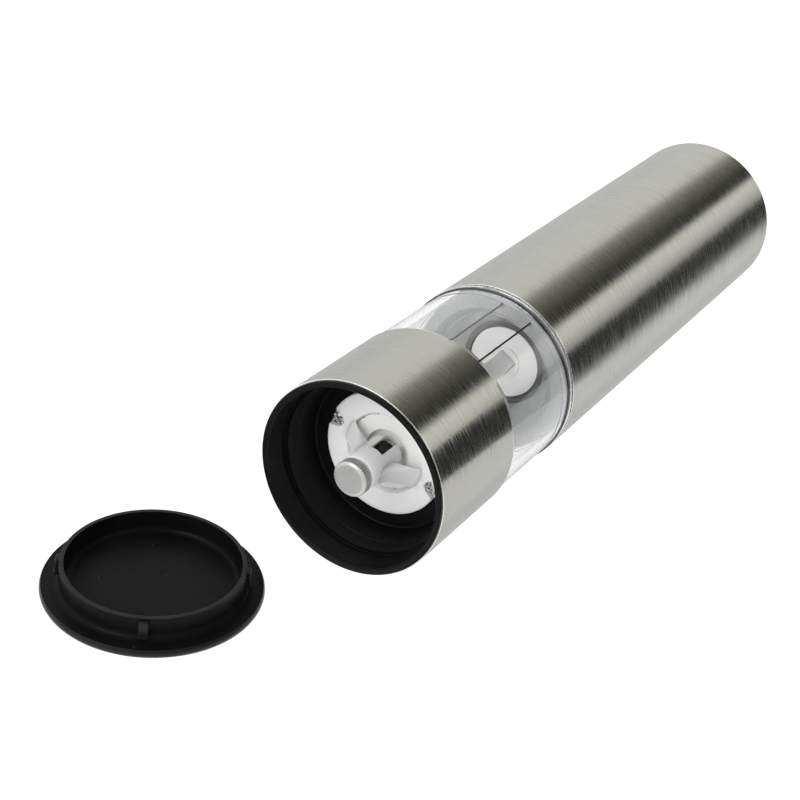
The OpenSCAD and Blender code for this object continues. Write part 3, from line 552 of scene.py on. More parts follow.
@dataclass(frozen=True)
class Sleeves:
    """The two brushed steel tubes, with edges rolled a little.

    Args:
        axis: the mill's axis.
        outer: outer radius.
        wall: thickness.
        roll: how far the edges are eased.
        edge: length of the lighter ring at each sleeve's lower end, which paints the edge's highlight.
        lower: depths between which the lower sleeve lies.
        upper: depths between which the upper sleeve lies.
    """

    axis: Axis
    outer: float = 25.0
    wall: float = 0.5
    roll: float = 0.2
    edge: float = 0.3
    lower: tuple[float, float] = (0.8, 35.2)
    upper: tuple[float, float] = (68.6, 215.15)

    def build(self) -> None:
        """Makes both sleeves, each as a brushed tube and a lighter ring at its lower end that paints the
        edge's highlight.
        """
        inner = self.outer - self.wall
        for node, body, (low, high) in (("lower_sleeve", "grinder_unit", self.lower),
                                        ("upper_sleeve", "shell", self.upper)):
            start = low + self.edge
            tube = [(inner, start, 0.02), (self.outer, start, 0.02),
                    (self.outer, high, self.roll), (inner, high, self.roll)]
            piece = self.axis.lathe(f"steel_{node}", tube, Girth.SMOOTH)
            settle(piece, BRUSHED_STEEL, body, "brushed_sleeve", node)
            # A lighter ring at the lower end paints the edge's highlight.
            ring = [(inner, low, 0.1), (self.outer, low, self.roll),
                    (self.outer, start, 0.01), (inner, start, 0.01)]
            piece = self.axis.lathe(f"steel_{node}_edge", ring, Girth.SMOOTH)
            settle(piece, STEEL_EDGE_HIGHLIGHT, body, "brushed_sleeve")


@dataclass(frozen=True)
class Barrel:
    """The black barrel: its lip, the stepped mouth, the narrowing recess and the well of the white disc.

    Args:
        axis: the mill's axis.
        mouth: inner radius at the lip.
        chamfer: size of the lip's inner chamfer.
        lip_out: outer radius of the lip.
        lip: depth of the lip's back.
        body_out: outer radius behind the lip.
        top: depth of the far end.
        socket: inner radius of the far end, round the chamber's spigot.
        floor: depths of the floor's two faces.
        opening: radius of the hole in the floor.
        well: radius of the well for the disc.
        shelf: depth of the shelf round the well.
        step: depth of the step in the mouth.
        step_width: width of that step.
        ledge: corners of the ledge below the step, as inset from the step's edge, depth and setback.
        taper: inset of the shelf's outer edge.
    """

    axis: Axis
    mouth: float = 23.0
    chamfer: float = 0.5
    lip_out: float = 24.7
    lip: float = 0.8
    body_out: float = 24.4
    top: float = 34.9
    socket: float = 22.8
    floor: tuple[float, float] = (18.0, 20.5)
    opening: float = 10.9
    well: float = 16.4
    shelf: float = 16.5
    step: float = 7.0
    step_width: float = 1.2
    ledge: tuple[Triple, ...] = ((0.55, 10.6, 0.15), (0.3, 10.4, 0.12))
    taper: float = 1.6

    def build(self) -> None:
        """Makes the barrel from one eased outline."""
        narrow = self.mouth - self.step_width
        face, back = self.floor
        outline = [
            (self.mouth + self.chamfer, 0.0, 0.1), (self.lip_out, 0.0, 0.3), (self.lip_out, self.lip, 0.1),
            (self.body_out, self.lip, 0.05), (self.body_out, self.top, 0.2), (self.socket, self.top, 0.2),
            (self.socket, back, 0.2), (self.opening, back, 0.2), (self.opening, face, 0.2),
            (self.well, face, 0.1), (self.well, self.shelf, 0.25), (narrow - self.taper, self.shelf, 0.5),
            *[(narrow - inset, depth, setback) for inset, depth, setback in self.ledge],
            (narrow, self.step, 0.2), (self.mouth, self.step, 0.2), (self.mouth, self.chamfer, 0.12)]
        piece = self.axis.lathe("black_barrel", outline, Girth.SMOOTH)
        settle(piece, BLACK_PLASTIC, "grinder_unit", "black_barrel", "lower_barrel")


@dataclass(frozen=True)
class Chamber:
    """The clear chamber: spigot, funnel floor, wall and thicker rim, and the two thin rods along its wall.

    Args:
        axis: the mill's axis.
        outer: outer radius of the wall.
        inner: inner radius of the wall.
        rim: outer radius of the rim.
        rim_low: depth at which the rim starts.
        rim_top: depth of the far end.
        ease: how far the rim's edges are eased.
        seat: depth of the shoulder on the lower sleeve's end.
        cove: depth from the seat over which the wall runs into the throat.
        spigot: radius of the part inside the barrel.
        spigot_end: depth of its lower end.
        throat: inner radius at the seat.
        throat_low: depth at which the funnel starts.
        funnel: radius of the funnel's hole.
        funnel_edge: depth of the funnel's floor at the hole.
        rods: directions of the rods, in degrees.
        rod_ring: distance of the rods from the axis.
        rod: radius of a rod.
        rod_span: depths of the rods' two ends.
    """

    axis: Axis
    outer: float = 24.5
    inner: float = 22.5
    rim: float = 24.9
    rim_low: float = 65.8
    rim_top: float = 68.3
    ease: float = 0.35
    seat: float = 35.2
    cove: float = 2.0
    spigot: float = 22.7
    spigot_end: float = 27.0
    throat: float = 20.4
    throat_low: float = 33.0
    funnel: float = 14.8
    funnel_edge: float = 30.0
    rods: tuple[float, ...] = (85.0, 62.0)
    rod_ring: float = 21.3
    rod: float = 0.24
    rod_span: tuple[float, float] = (20.5, 66.0)

    def build(self) -> None:
        """Makes the chamber from one eased outline, and the rods."""
        outline = [
            (self.funnel, self.spigot_end, 0.2), (self.spigot, self.spigot_end, 0.3),
            (self.spigot, self.seat, 0.1), (self.outer, self.seat, 0.3),
            (self.outer, self.rim_low, self.ease), (self.rim, self.rim_low + self.ease, 0.3),
            (self.rim, self.rim_top, self.ease), (self.inner, self.rim_top, self.ease),
            (self.inner, self.seat + self.cove, 0.8), (self.throat, self.seat, 0.6),
            (self.throat, self.throat_low, 0.8), (self.funnel, self.funnel_edge, 0.3)]
        piece = self.axis.lathe("clear_chamber", outline, Girth.SMOOTH)
        settle(piece, CLEAR_PLASTIC, "grinder_unit", "clear_chamber", "spice_chamber")
        piece.visible_shadow = False
        piece.visible_diffuse = False
        low, high = self.rod_span
        line = rounded([(0.0, low, 0.0), (self.rod, low, 0.05), (self.rod, high, 0.1), (0.0, high, 0.0)],
                       closed=False)
        places = [self.axis.beside(self.rod_ring, degrees) for degrees in self.rods]
        rods = surface("thin_rods", [place.turned(line, Girth.COARSE, closed=False) for place in places])
        # The rods are steel drawn near-black: painted dark reflection.
        settle(rods, STEEL_PAINTED_DARK, "grinder_unit", "bright_steel", "lamp_rods")


@dataclass(frozen=True)
class CrossScrew:
    """A cross-head screw: a domed head whose height drops inside a cross, and its shank.

    Args:
        head: radius of the head.
        crown: radius up to which the dome and the cross go.
        dome: height of the dome.
        rim: depth of the dome's edge under the head's top.
        under: depth of the head's underside.
        shank: radius of the shank.
        length: depth of the shank's end.
        slot: half width and half length of each slot of the cross.
        dip: depth of the cross.
        turn: turn of the cross, in radians.
        rings: rings of points on the crown.
        sides: divisions round the screw.
    """

    head: float = 1.6
    crown: float = 1.55
    dome: float = 0.3
    rim: float = 0.25
    under: float = 1.2
    shank: float = 0.95
    length: float = 4.9
    slot: tuple[float, float] = (0.26, 1.05)
    dip: float = 0.75
    turn: float = 0.5
    rings: int = 20
    sides: int = 64

    def groove(self, across: np.ndarray, along: np.ndarray) -> np.ndarray:
        """One slot of the cross: 1 in its middle, falling smoothly to 0 outside.

        It is 1 / (1 + (x / w)^6) times 1 / (1 + (y / l)^10), for a half width w and a half length l.

        Args:
            across: distance from the slot's middle line.
            along: distance from its middle.

        Returns:
            Share of the cross's depth at each point.
        """
        width, length = self.slot
        return 1.0 / (1.0 + (np.abs(across) / width) ** 6) / (1.0 + (np.abs(along) / length) ** 10)

    def patch(self, line: Axis, top: float) -> Patch:
        """The screw's surface: at a radius r its dome stands h (1 - (r / R)^2) high, less the deeper slot.

        Args:
            line: the screw's axis.
            top: depth of the head's top.

        Returns:
            The surface, from the crown to the shank's end.
        """
        crown = np.concatenate([[0.0], np.linspace(0.1, self.crown, self.rings)])
        below = np.array([(self.head, self.rim), (self.head, self.under), (self.shank, self.under),
                          (self.shank, self.length), (0.0, self.length)])
        radius = np.concatenate([crown, below[:, 0]])[:, None]
        base = np.concatenate([0.0 * crown, below[:, 1]])[:, None]
        on_crown = np.arange(len(radius))[:, None] < len(crown)
        angle = once_round(self.sides)[None]
        x, y = radius * np.cos(angle - self.turn), radius * np.sin(angle - self.turn)
        cross = self.dip * np.maximum(self.groove(x, y), self.groove(y, x))
        dome = self.dome * (1.0 - (radius / self.head) ** 2)
        along = top + base + np.where(on_crown, self.rim - dome + cross, 0.0)
        return Patch(line.at(radius, angle, along))


@dataclass(frozen=True)
class GrinderBase:
    """The white disc with its round opening, and the bridge that carries the hub over it on two arms.

    Args:
        axis: the mill's axis.
        face: depth of the disc's face.
        back: depth of its back.
        disc: radius of the disc.
        opening: radius of the opening.
        throat: radius of the opening at the back, close round the burr's skirt.
        throat_depth: length of that narrower part.
        lip: radius of the opening's eased front edge.
        hub: radius of the hub.
        hub_span: depths of the hub's two ends.
        bore: radius of the thread's bore.
        chamber: radius of the wider room behind it.
        slot: depth at which the hub's side opening starts. It runs out at the hub's end.
        slot_half: half of the side opening's width.
        slot_turn: direction of the side opening, in degrees.
        foot: radius at which the arms meet the disc.
        rise: height of the arms at the hub.
        arms: directions of the arms, in degrees.
        arm_half: half of an arm's width beside the hub.
        arm_fillet: radius of the fillets between arm and hub.
        arch: height of the arms' underside in front of the disc's face.
        screws: directions of the screws, in degrees.
        screw_ring: distance of the screws from the axis.
        screw_top: depth of the screws' heads under the face.
        notch: radius of the recess round a screw's head.
        notch_ease: radius of its eased edge.
        seat: depth of that recess.
    """

    axis: Axis
    face: float = 15.5
    back: float = 18.0
    disc: float = 16.1
    opening: float = 10.4
    throat: float = 9.97
    throat_depth: float = 1.0
    lip: float = 0.5
    hub: float = 4.7
    hub_span: tuple[float, float] = (3.6, 16.5)
    bore: float = 2.0
    chamber: float = 3.75
    slot: float = 9.5
    slot_half: float = 1.7
    slot_turn: float = 73.0
    foot: float = 11.0
    rise: float = 7.5
    arms: tuple[float, ...] = (163.0, -17.0)
    arm_half: float = 2.05
    arm_fillet: float = 1.2
    arch: float = 0.9
    screws: tuple[float, ...] = (163.0, 86.0, -17.0)
    screw_ring: float = 14.5
    screw_top: float = 0.2
    notch: float = 1.85
    notch_ease: float = 0.35
    seat: float = 1.4

    def girth(self) -> np.ndarray:
        """Finds the directions of the disc's columns: evenly spaced, and closer at each screw's notch.

        Returns:
            Directions in degrees, in rising order.
        """
        half = math.degrees(math.asin(self.notch / self.screw_ring))
        step, brink, inside, columns = 2.0, 0.02, 0.94, 9
        sides = [-half, brink - half, half - brink, half]
        across = half * np.linspace(-inside, inside, columns)
        near = np.add.outer(self.screws, np.concatenate([sides, across])) % 360.0
        every = np.arange(0.0, 360.0, step)
        return np.unique(np.round(np.concatenate([every, near.ravel()]), 4))

    def plate(self) -> Patch:
        """The disc: face, notches round the screw heads, edge, back and the eased wall of its opening.

        A notch follows the near side of its circle, r = R cos d - sqrt(n^2 - R^2 sin^2 d).

        Returns:
            The disc's closed surface.
        """
        turns = self.girth()
        away = (turns[:, None] - np.array(self.screws)[None] + 180.0) % 360.0 - 180.0
        nearest = np.radians(np.abs(away).min(1))
        root = self.notch**2 - (self.screw_ring * np.sin(nearest)) ** 2
        notched = self.screw_ring * np.cos(nearest) - np.sqrt(np.maximum(root, 0.0))
        edge = np.where(root > 1e-6, notched, self.disc)[None]
        bend = np.linspace(0.0, math.pi / 2, 5)[:, None]
        share = np.linspace(0.0, 1.0, 6)[1:, None]
        inner, outer = self.opening + self.lip, edge - self.notch_ease
        sunk = self.face + self.seat
        rim_ease, throat_ease = 0.3, 0.2
        rows = [(inner - self.lip * np.cos(bend), self.face + self.lip * (1.0 - np.sin(bend))),
                (inner + (outer - inner) * share, self.face),
                (outer + self.notch_ease * np.sin(bend[1:]),
                 self.face + self.notch_ease * (1.0 - np.cos(bend[1:]))),
                (edge, sunk), (self.disc, sunk),
                (self.disc, self.back - rim_ease), (self.disc - rim_ease, self.back),
                (self.throat + throat_ease, self.back), (self.throat, self.back - throat_ease),
                (self.throat, self.back - self.throat_depth)]
        grids = [np.broadcast_arrays(radius, depth, edge)[:2] for radius, depth in rows]
        radius, depth = (np.concatenate(part) for part in zip(*grids))
        return Patch(self.axis.at(radius, np.radians(turns)[None], depth), wrap_rows=True)

    def arm(self, degrees: float) -> Patch:
        """One arm: an eased box carried out from inside the hub into the disc.

        Its crest falls with a power of the way to the disc and flares up beside the hub. Its underside is an
        arch of a higher power. A round fillet of radius f joins its sides to the hub, as the half width
        h = c - sqrt(f^2 - (d - s)^2) around the fillet's middle (d, c).

        Args:
            degrees: direction of the arm.

        Returns:
            The arm's closed surface.
        """
        root, beside_hub, to_disc = [3.0], np.linspace(3.9, 5.4, 22), np.linspace(5.7, 11.8, 22)
        out = np.concatenate([root, beside_hub, to_disc])[:, None]
        way = np.clip(1.0 - (out - self.hub) / (self.foot - self.hub), 0.0, 1.0)
        fall, sink, sink_start, flare, flare_reach = 1.6, 0.5, 0.3, 1.6, 0.4
        crest = self.face - self.rise * way**fall + sink * np.clip(out - self.foot + sink_start, 0.0, 1.0)
        crest -= flare * np.exp(-np.maximum(out - self.hub, 0.0) / flare_reach)
        away = np.clip((out - self.hub) / (self.opening - self.hub), 0.0, 1.0)
        bow, cover = 9, 0.15
        under = self.face - self.arch + (self.back - self.face + self.arch) * away**bow
        under = np.minimum(under, self.back - cover)
        slim, fillet = self.arm_half, self.arm_fillet
        centre = math.sqrt((self.hub + fillet) ** 2 - (slim + fillet) ** 2)
        toward = np.clip(centre - out, 0.0, centre * fillet / (self.hub + fillet))
        widening_length, widest = 5.4, 1.2
        widening = np.clip((out - centre) / widening_length, 0.0, widest)
        half = slim + fillet - np.sqrt(fillet**2 - toward**2) + widening
        sides, softness, fullness = 48, 0.7, 1.08
        spin = once_round(sides)[None]
        side = fullness * half * signed_power(np.cos(spin), softness)
        along = (crest + under) / 2 - (under - crest) / 2 * signed_power(np.sin(spin), softness)
        middle = np.broadcast_to(np.mean(along, 1, keepdims=True), along.shape)
        side = np.concatenate([0.0 * side[:1], side, 0.0 * side[-1:]])
        along = np.concatenate([middle[:1], along, middle[-1:]])
        out = np.concatenate([out[:1], out, out[-1:]])
        turn = math.radians(degrees)
        return Patch(self.axis.at(np.hypot(out, side), turn + np.arctan2(side, out), along))

    def hub_patches(self) -> list[Patch]:
        """The hub with its two bores, and the straight walls of its side opening.

        The first columns follow the opening: at a radius r they stand at asin(w s / r) for s from -1 to 1.
        Small offsets ease the edges.

        Returns:
            The hub and the opening's walls, which share the opening's edges.
        """
        top, end = self.hub_span
        across, around, straight = 9, 58, 6
        depth = np.concatenate([np.linspace(self.slot, end - 0.25, straight), [end - 0.06, end]])
        ease = np.concatenate([np.zeros(straight), [0.08, 0.25]])
        count = len(depth)
        ceiling = self.slot - 0.3
        outline = np.concatenate([
            [(self.hub, top + 0.5)], np.stack([self.hub - ease, depth], -1),
            np.stack([self.chamber + ease, depth], -1)[::-1],
            [(self.chamber, ceiling), (self.bore, ceiling), (self.bore, top + 0.3),
             (self.bore + 0.3, top), (self.hub - 0.5, top), (self.hub - 0.15, top + 0.15)]])
        radius = outline[:, :1]
        inside = np.arcsin(self.slot_half * np.linspace(-1.0, 1.0, across)[None] / radius)
        edge = inside[:, -1:]
        rest = edge + (TAU - 2.0 * edge) * np.linspace(0.0, 1.0, around)[None, 1:-1]
        angle = math.radians(self.slot_turn) + np.concatenate([inside, rest], 1)
        points = self.axis.at(radius, angle, outline[:, 1:])
        last = across - 1
        near = np.concatenate([points[count:1:-1, 0], points[1, :across], points[2:count + 1, last]])
        far = np.concatenate([points[count + 1:2 * count, 0], points[2 * count, :across],
                              points[2 * count - 1:count:-1, last]])
        return [Patch(points, wrap_rows=True, holes=((1, 2 * count, 0, last),)),
                Patch(np.stack([near, far]), wrap_columns=False)]

    def build(self) -> None:
        """Makes the base and its screws."""
        patches = [self.plate(), *self.hub_patches(), *[self.arm(degrees) for degrees in self.arms]]
        settle(surface("white_base", patches), WHITE_PLASTIC, "grinder_unit", "white_base", "grinder_base")
        places = [self.axis.beside(self.screw_ring, degrees) for degrees in self.screws]
        top = self.face + self.screw_top
        screws = surface("cross_screws", [CrossScrew().patch(place, top) for place in places])
        settle(screws, SCREW_STEEL, "grinder_unit", "bright_steel", "base_screws")


@dataclass(frozen=True)
class Adjuster:
    """The knurled thumb screw in the hub, the thrust cup and the square shaft that they push.

    Args:
        axis: the mill's axis.
        radius: radius of the knob over its ridges.
        face: depth of the knob's face.
        height: height of the knob.
        chamfer: size of the face's chamfer.
        dish: radius and dip of the face's inner rings.
        ridges: number of ridges.
        knurl: height of a ridge.
        thread: outer radius of the thread.
        pitch: rise of the thread per turn.
        groove: depth of the thread.
        tip: depth of the stem's end.
        cup: outer radius of the thrust cup.
        cup_span: depths of the cup's two ends.
        cup_bore: inner radius of the cup.
        cup_floor: depth of the cup's inner floor.
        pocket: radius of the pocket for the shaft's pin.
        pocket_low: depth of the pocket's end.
        pin: half width of the shaft's pin.
        half: half width of the shaft.
        shaft_span: depths of the shaft's two ends.
        square: depth at which the pin turns from round to square.
        shoulder: depth at which the pin meets the shaft.
        shaft_turn: turn of the square, in degrees.
        sharp: angle in degrees above which an edge of these metal pieces stays sharp.
    """

    axis: Axis
    radius: float = 4.6
    face: float = 0.3
    height: float = 3.0
    chamfer: float = 0.3
    dish: tuple[tuple[float, float], ...] = ((0.0, 0.06), (1.5, 0.05), (3.3, 0.02))
    ridges: int = 44
    knurl: float = 0.3
    thread: float = 1.95
    pitch: float = 0.7
    groove: float = 0.3
    tip: float = 11.45
    cup: float = 3.4
    cup_span: tuple[float, float] = (11.5, 16.2)
    cup_bore: float = 2.6
    cup_floor: float = 15.0
    pocket: float = 1.75
    pocket_low: float = 12.7
    pin: float = 1.7
    half: float = 2.5
    shaft_span: tuple[float, float] = (12.75, 80.15)
    square: float = 15.2
    shoulder: float = 20.5
    shaft_turn: float = -32.0
    sharp: float = 30.0

    def knob(self) -> Patch:
        """The thumb screw: its side's radius falls by a triangle wave of the angle, once for each ridge.

        Each row holds a radius, a depth and the share of the ridges. Small offsets ease the edges.

        Returns:
            The knob's surface.
        """
        columns_per_ridge = 8
        angle = once_round(self.ridges * columns_per_ridge)[None]
        wave = triangle(angle * self.ridges / TAU)
        low, high = self.face, self.face + self.height
        inner = self.radius - self.knurl - 0.02
        flat, side = inner - self.chamfer, low + self.chamfer
        rows = np.array([
            *[(radius, low + dip, 0.0) for radius, dip in self.dish],
            (flat, low, 0.0), (flat + 0.05, low + 0.02, 0.0), (inner - 0.03, side - 0.02, 0.0),
            (inner, side, 0.0), (inner, side + 0.05, 0.0), (self.radius, side + 0.12, 1.0),
            (self.radius, high - 0.32, 1.0), (inner, high - 0.22, 0.0), (inner - 0.2, high, 0.0),
            (0.0, high, 0.0)])
        radius, depth, ridged = np.split(rows, 3, axis=1)
        return Patch(self.axis.at(radius - self.knurl * wave * ridged, angle, depth))

    def stem(self) -> Patch:
        """The screw's stem: its radius swings by a triangle wave along the axis, once for each turn.

        Returns:
            The stem's surface.
        """
        low, high = self.face + self.height, self.tip
        steps, sides, point_length, bluntness = 160, 48, 0.3, 0.3
        along = np.linspace(low, high, steps)[:, None]
        angle = once_round(sides)[None]
        point = np.clip((high - along) / point_length, 0.0, 1.0) ** bluntness
        radius = (self.thread - self.groove * triangle(along / self.pitch + angle / TAU)) * point
        radius[0] = 0.0
        return Patch(self.axis.at(radius, angle, along))

    def shaft(self) -> Patch:
        """The square shaft: a super-ellipse, r = w / (|cos|^n + |sin|^n)^(1/n), carried along the axis.

        The power n is 2 where the shaft is round, and more where it is square. Small offsets ease the edges.

        Returns:
            The shaft's surface.
        """
        low, high = self.shaft_span
        circle, square, eased = 2.0, 18.0, 14.0
        rows = np.array([
            (0.0, low, circle), (self.pin - 0.2, low, circle), (self.pin, low + 0.2, circle),
            (self.pin, self.square - 0.1, circle), (self.pin, self.square, square),
            (self.pin, self.shoulder - 0.02, square), (self.half, self.shoulder, square),
            (self.half, high - 0.3, square), (self.half - 0.2, high, eased), (0.0, high, eased)])
        width, depth, power = np.split(rows, 3, axis=1)
        angle = once_round(96)[None]
        outline = (np.abs(np.cos(angle)) ** power + np.abs(np.sin(angle)) ** power) ** (-1.0 / power)
        return Patch(self.axis.at(width * outline, angle + math.radians(self.shaft_turn), depth))

    def build(self) -> None:
        """Makes the thumb screw, the cup and the shaft."""
        low, high = self.cup_span
        outline = [(0.0, low, 0.0), (self.cup, low, 0.3), (self.cup, high, 0.8), (self.cup_bore, high, 0.2),
                   (self.cup_bore, self.cup_floor, 0.1), (self.pocket, self.cup_floor, 0.1),
                   (self.pocket, self.pocket_low, 0.1), (0.0, self.pocket_low, 0.0)]
        cup = self.axis.lathe("dark_cup", outline, closed=False)
        # The cup is drawn near-black: painted shade where it sits in the hub's pocket.
        settle(cup, STEEL_PAINTED_DARK, "thrust", "black_steel", "thrust_cup")
        knob = surface("knurled_knob", [self.knob()], self.sharp)
        settle(knob, TURNED_METAL, "knob", "knob_metal", "adjuster_knob")
        stem = surface("knob_stem", [self.stem()], self.sharp)
        # The thread is drawn near-black, unlike the knob: painted shade inside the hub.
        settle(stem, STEEL_PAINTED_DARK, "knob", "knob_metal")
        shaft = surface("square_shaft", [self.shaft()], self.sharp)
        settle(shaft, SHAFT_STEEL, "drive", "bright_steel", "drive_shaft")


@dataclass(frozen=True)
class MotorEnd:
    """What shows of the motor unit through the chamber: the milky plug, a dark ring in its hole that paints
    the gap's shadow, a darker layer on its recess that paints the dark band reflected there, and its seal.

    Args:
        axis: the mill's axis.
        mouth: radius and depth of the wide end of the plug's conical recess.
        hole: radius and depth of its narrow end.
        collar: radius of the part inside the chamber.
        collar_top: depth at which the flange starts.
        flange: radius of the flange.
        flange_top: depth of the flange's back.
        waist: radius of the plug behind the flange.
        neck: radius of the plug's far end.
        neck_top: depth of the far end.
        lip: inner and outer radius of the dark ring in the hole, which paints the shadow of the gap round
            the gearbox's nose.
        lip_span: depths of that ring's two ends.
        cone: radius, depth and setback of the corners of the darker, glossier layer on the recess, which
            paints the dark band reflected there.
        seal: outer radius of the seal.
        seal_low: depth at which the seal starts.
    """

    axis: Axis
    mouth: tuple[float, float] = (18.5, 66.3)
    hole: tuple[float, float] = (12.0, 75.65)
    collar: float = 22.2
    collar_top: float = 69.05
    flange: float = 24.2
    flange_top: float = 72.05
    waist: float = 20.1
    neck: float = 13.6
    neck_top: float = 77.95
    lip: tuple[float, float] = (10.35, 11.98)
    lip_span: tuple[float, float] = (75.4, 76.7)
    cone: tuple[Triple, ...] = (
        (16.54, 69.21, 0.02), (16.295, 69.04, 0.1), (11.795, 75.51, 0.1), (12.04, 75.68, 0.02))
    seal: float = 23.9
    seal_low: float = 68.35

    def build(self) -> None:
        """Makes the plug, the dark ring that paints the gap's shadow, the darker layer on the recess, and
        the seal.
        """
        hole, _ = self.hole
        plug = [(*self.mouth, 0.4), (self.collar, self.mouth[1], 0.5), (self.collar, self.collar_top, 0.1),
                (self.flange, self.collar_top, 0.15), (self.flange, self.flange_top, 0.3),
                (self.waist, self.flange_top, 0.3), (self.neck, self.neck_top, 0.3),
                (hole, self.neck_top, 0.2), (*self.hole, 0.5)]
        (inner, outer), (low, high) = self.lip, self.lip_span
        lip = [(inner, low, 0.3), (outer, low, 0.2), (outer, high, 0.2), (inner, high, 0.2)]
        seal = [(self.collar, self.seal_low, 0.2), (self.seal, self.seal_low, 0.25),
                (self.seal, self.collar_top, 0.25), (self.collar, self.collar_top, 0.2)]
        settle(self.axis.lathe("milky_plug", plug), MILKY_PLASTIC, "motor_unit", "milky_plug", "bulkhead")
        # A dark ring in the plug's hole paints the shadow of the gap there.
        settle(self.axis.lathe("plug_shade_ring", lip), GAP_SHADE_GREY, "motor_unit", "milky_plug")
        # The darker layer on the recess paints its dark reflected band.
        settle(self.axis.lathe("plug_cone", self.cone), RECESS_REFLECTION_GREY, "motor_unit", "milky_plug")
        settle(self.axis.lathe("rubber_seal", seal), RUBBER, "motor_unit", "seal_rubber", "seal_ring")


@dataclass(frozen=True)
class Batteries:
    """The four cells with their plain jackets, and the coil springs at their flat ends.

    Args:
        axis: the mill's axis.
        ring: distance of the cells from the axis.
        first: direction of the first cell, in degrees.
        count: number of cells.
        radius: radius of a cell over its jacket.
        length: length of a cell without its nub.
        can: radius of the steel can.
        bulge: how far the can's ends fall away at its edge.
        flat: radius of the flat end's inner and outer ring.
        shoulder: radius of the raised end's flat.
        nub_radius: radius of the nub.
        nub: height of the nub.
        jacket: inner radius of the jacket.
        bare: length of the can that the jacket leaves free at each end.
        foot: depth at which the springs of the even cells stand.
        top: depth at which those of the odd cells stand.
        spring_height: height of a spring.
        spring_radius: middle radius of a spring.
        wire: diameter of its wire.
        turns: its number of turns.
    """

    axis: Axis
    ring: float = 11.455
    first: float = -45.0
    count: int = 4
    radius: float = 7.25
    length: float = 49.2
    can: float = 6.9
    bulge: float = 0.35
    flat: tuple[float, float] = (5.6, 5.9)
    shoulder: float = 4.2
    nub_radius: float = 2.75
    nub: float = 1.3
    jacket: float = 6.6
    bare: float = 0.15
    foot: float = 138.55
    top: float = 192.65
    spring_height: float = 3.2
    spring_radius: float = 3.0
    wire: float = 0.6
    turns: float = 2.5

    def line(self, index: int) -> Axis:
        """Middle line of a cell."""
        return self.axis.beside(self.ring, self.first - 360.0 / self.count * index)

    def cell(self, index: int) -> tuple[Patch, Patch]:
        """One cell: the steel can with its nub, and the jacket round it.

        Args:
            index: number of the cell, whose nub points up if it is even.

        Returns:
            The can and the jacket.
        """
        length, tip, bare = self.length, self.length + self.nub, self.bare
        can = rounded([
            (0.0, 0.0, 0.0), *[(radius, 0.0, 0.2) for radius in self.flat], (self.can, self.bulge, 0.2),
            (self.can, length - self.bulge, 0.2), (self.shoulder, length, 0.3),
            (self.nub_radius, length, 0.2), (self.nub_radius, tip, 0.3), (0.0, tip, 0.0)], closed=False)
        jacket = rounded([(self.jacket, bare, 0.1), (self.radius, bare, 0.35),
                          (self.radius, length - bare, 0.35), (self.jacket, length - bare, 0.1)])
        if index % 2 == 0:
            way, start = 1.0, self.foot + self.spring_height
        else:
            way, start = -1.0, self.foot + self.nub + length
        can, jacket = ([0.0, start] + outline * [1.0, way] for outline in (can, jacket))
        line = self.line(index)
        return line.turned(can, Girth.COARSE, closed=False), line.turned(jacket, Girth.COARSE)

    def spring(self, index: int) -> Patch:
        """The coil at a cell's flat end.

        Args:
            index: number of the cell.

        Returns:
            The coil's surface.
        """
        low = self.foot if index % 2 == 0 else self.top - self.spring_height
        span = (low, low + self.spring_height)
        return coil(self.line(index), self.spring_radius, self.wire, span, self.turns)

    def build(self) -> None:
        """Makes cells and springs."""
        cans, jackets = zip(*[self.cell(index) for index in range(self.count)])
        settle(surface("cell_jackets", list(jackets)), CELL_JACKET, "motor_unit", "cell_jacket", "aa_cells")
        settle(surface("cell_cans", list(cans)), BRIGHT_STEEL, "motor_unit", "bright_steel")
        springs = surface("cell_springs", [self.spring(index) for index in range(self.count)])
        settle(springs, BRIGHT_STEEL, "motor_unit", "bright_steel", "contact_springs")


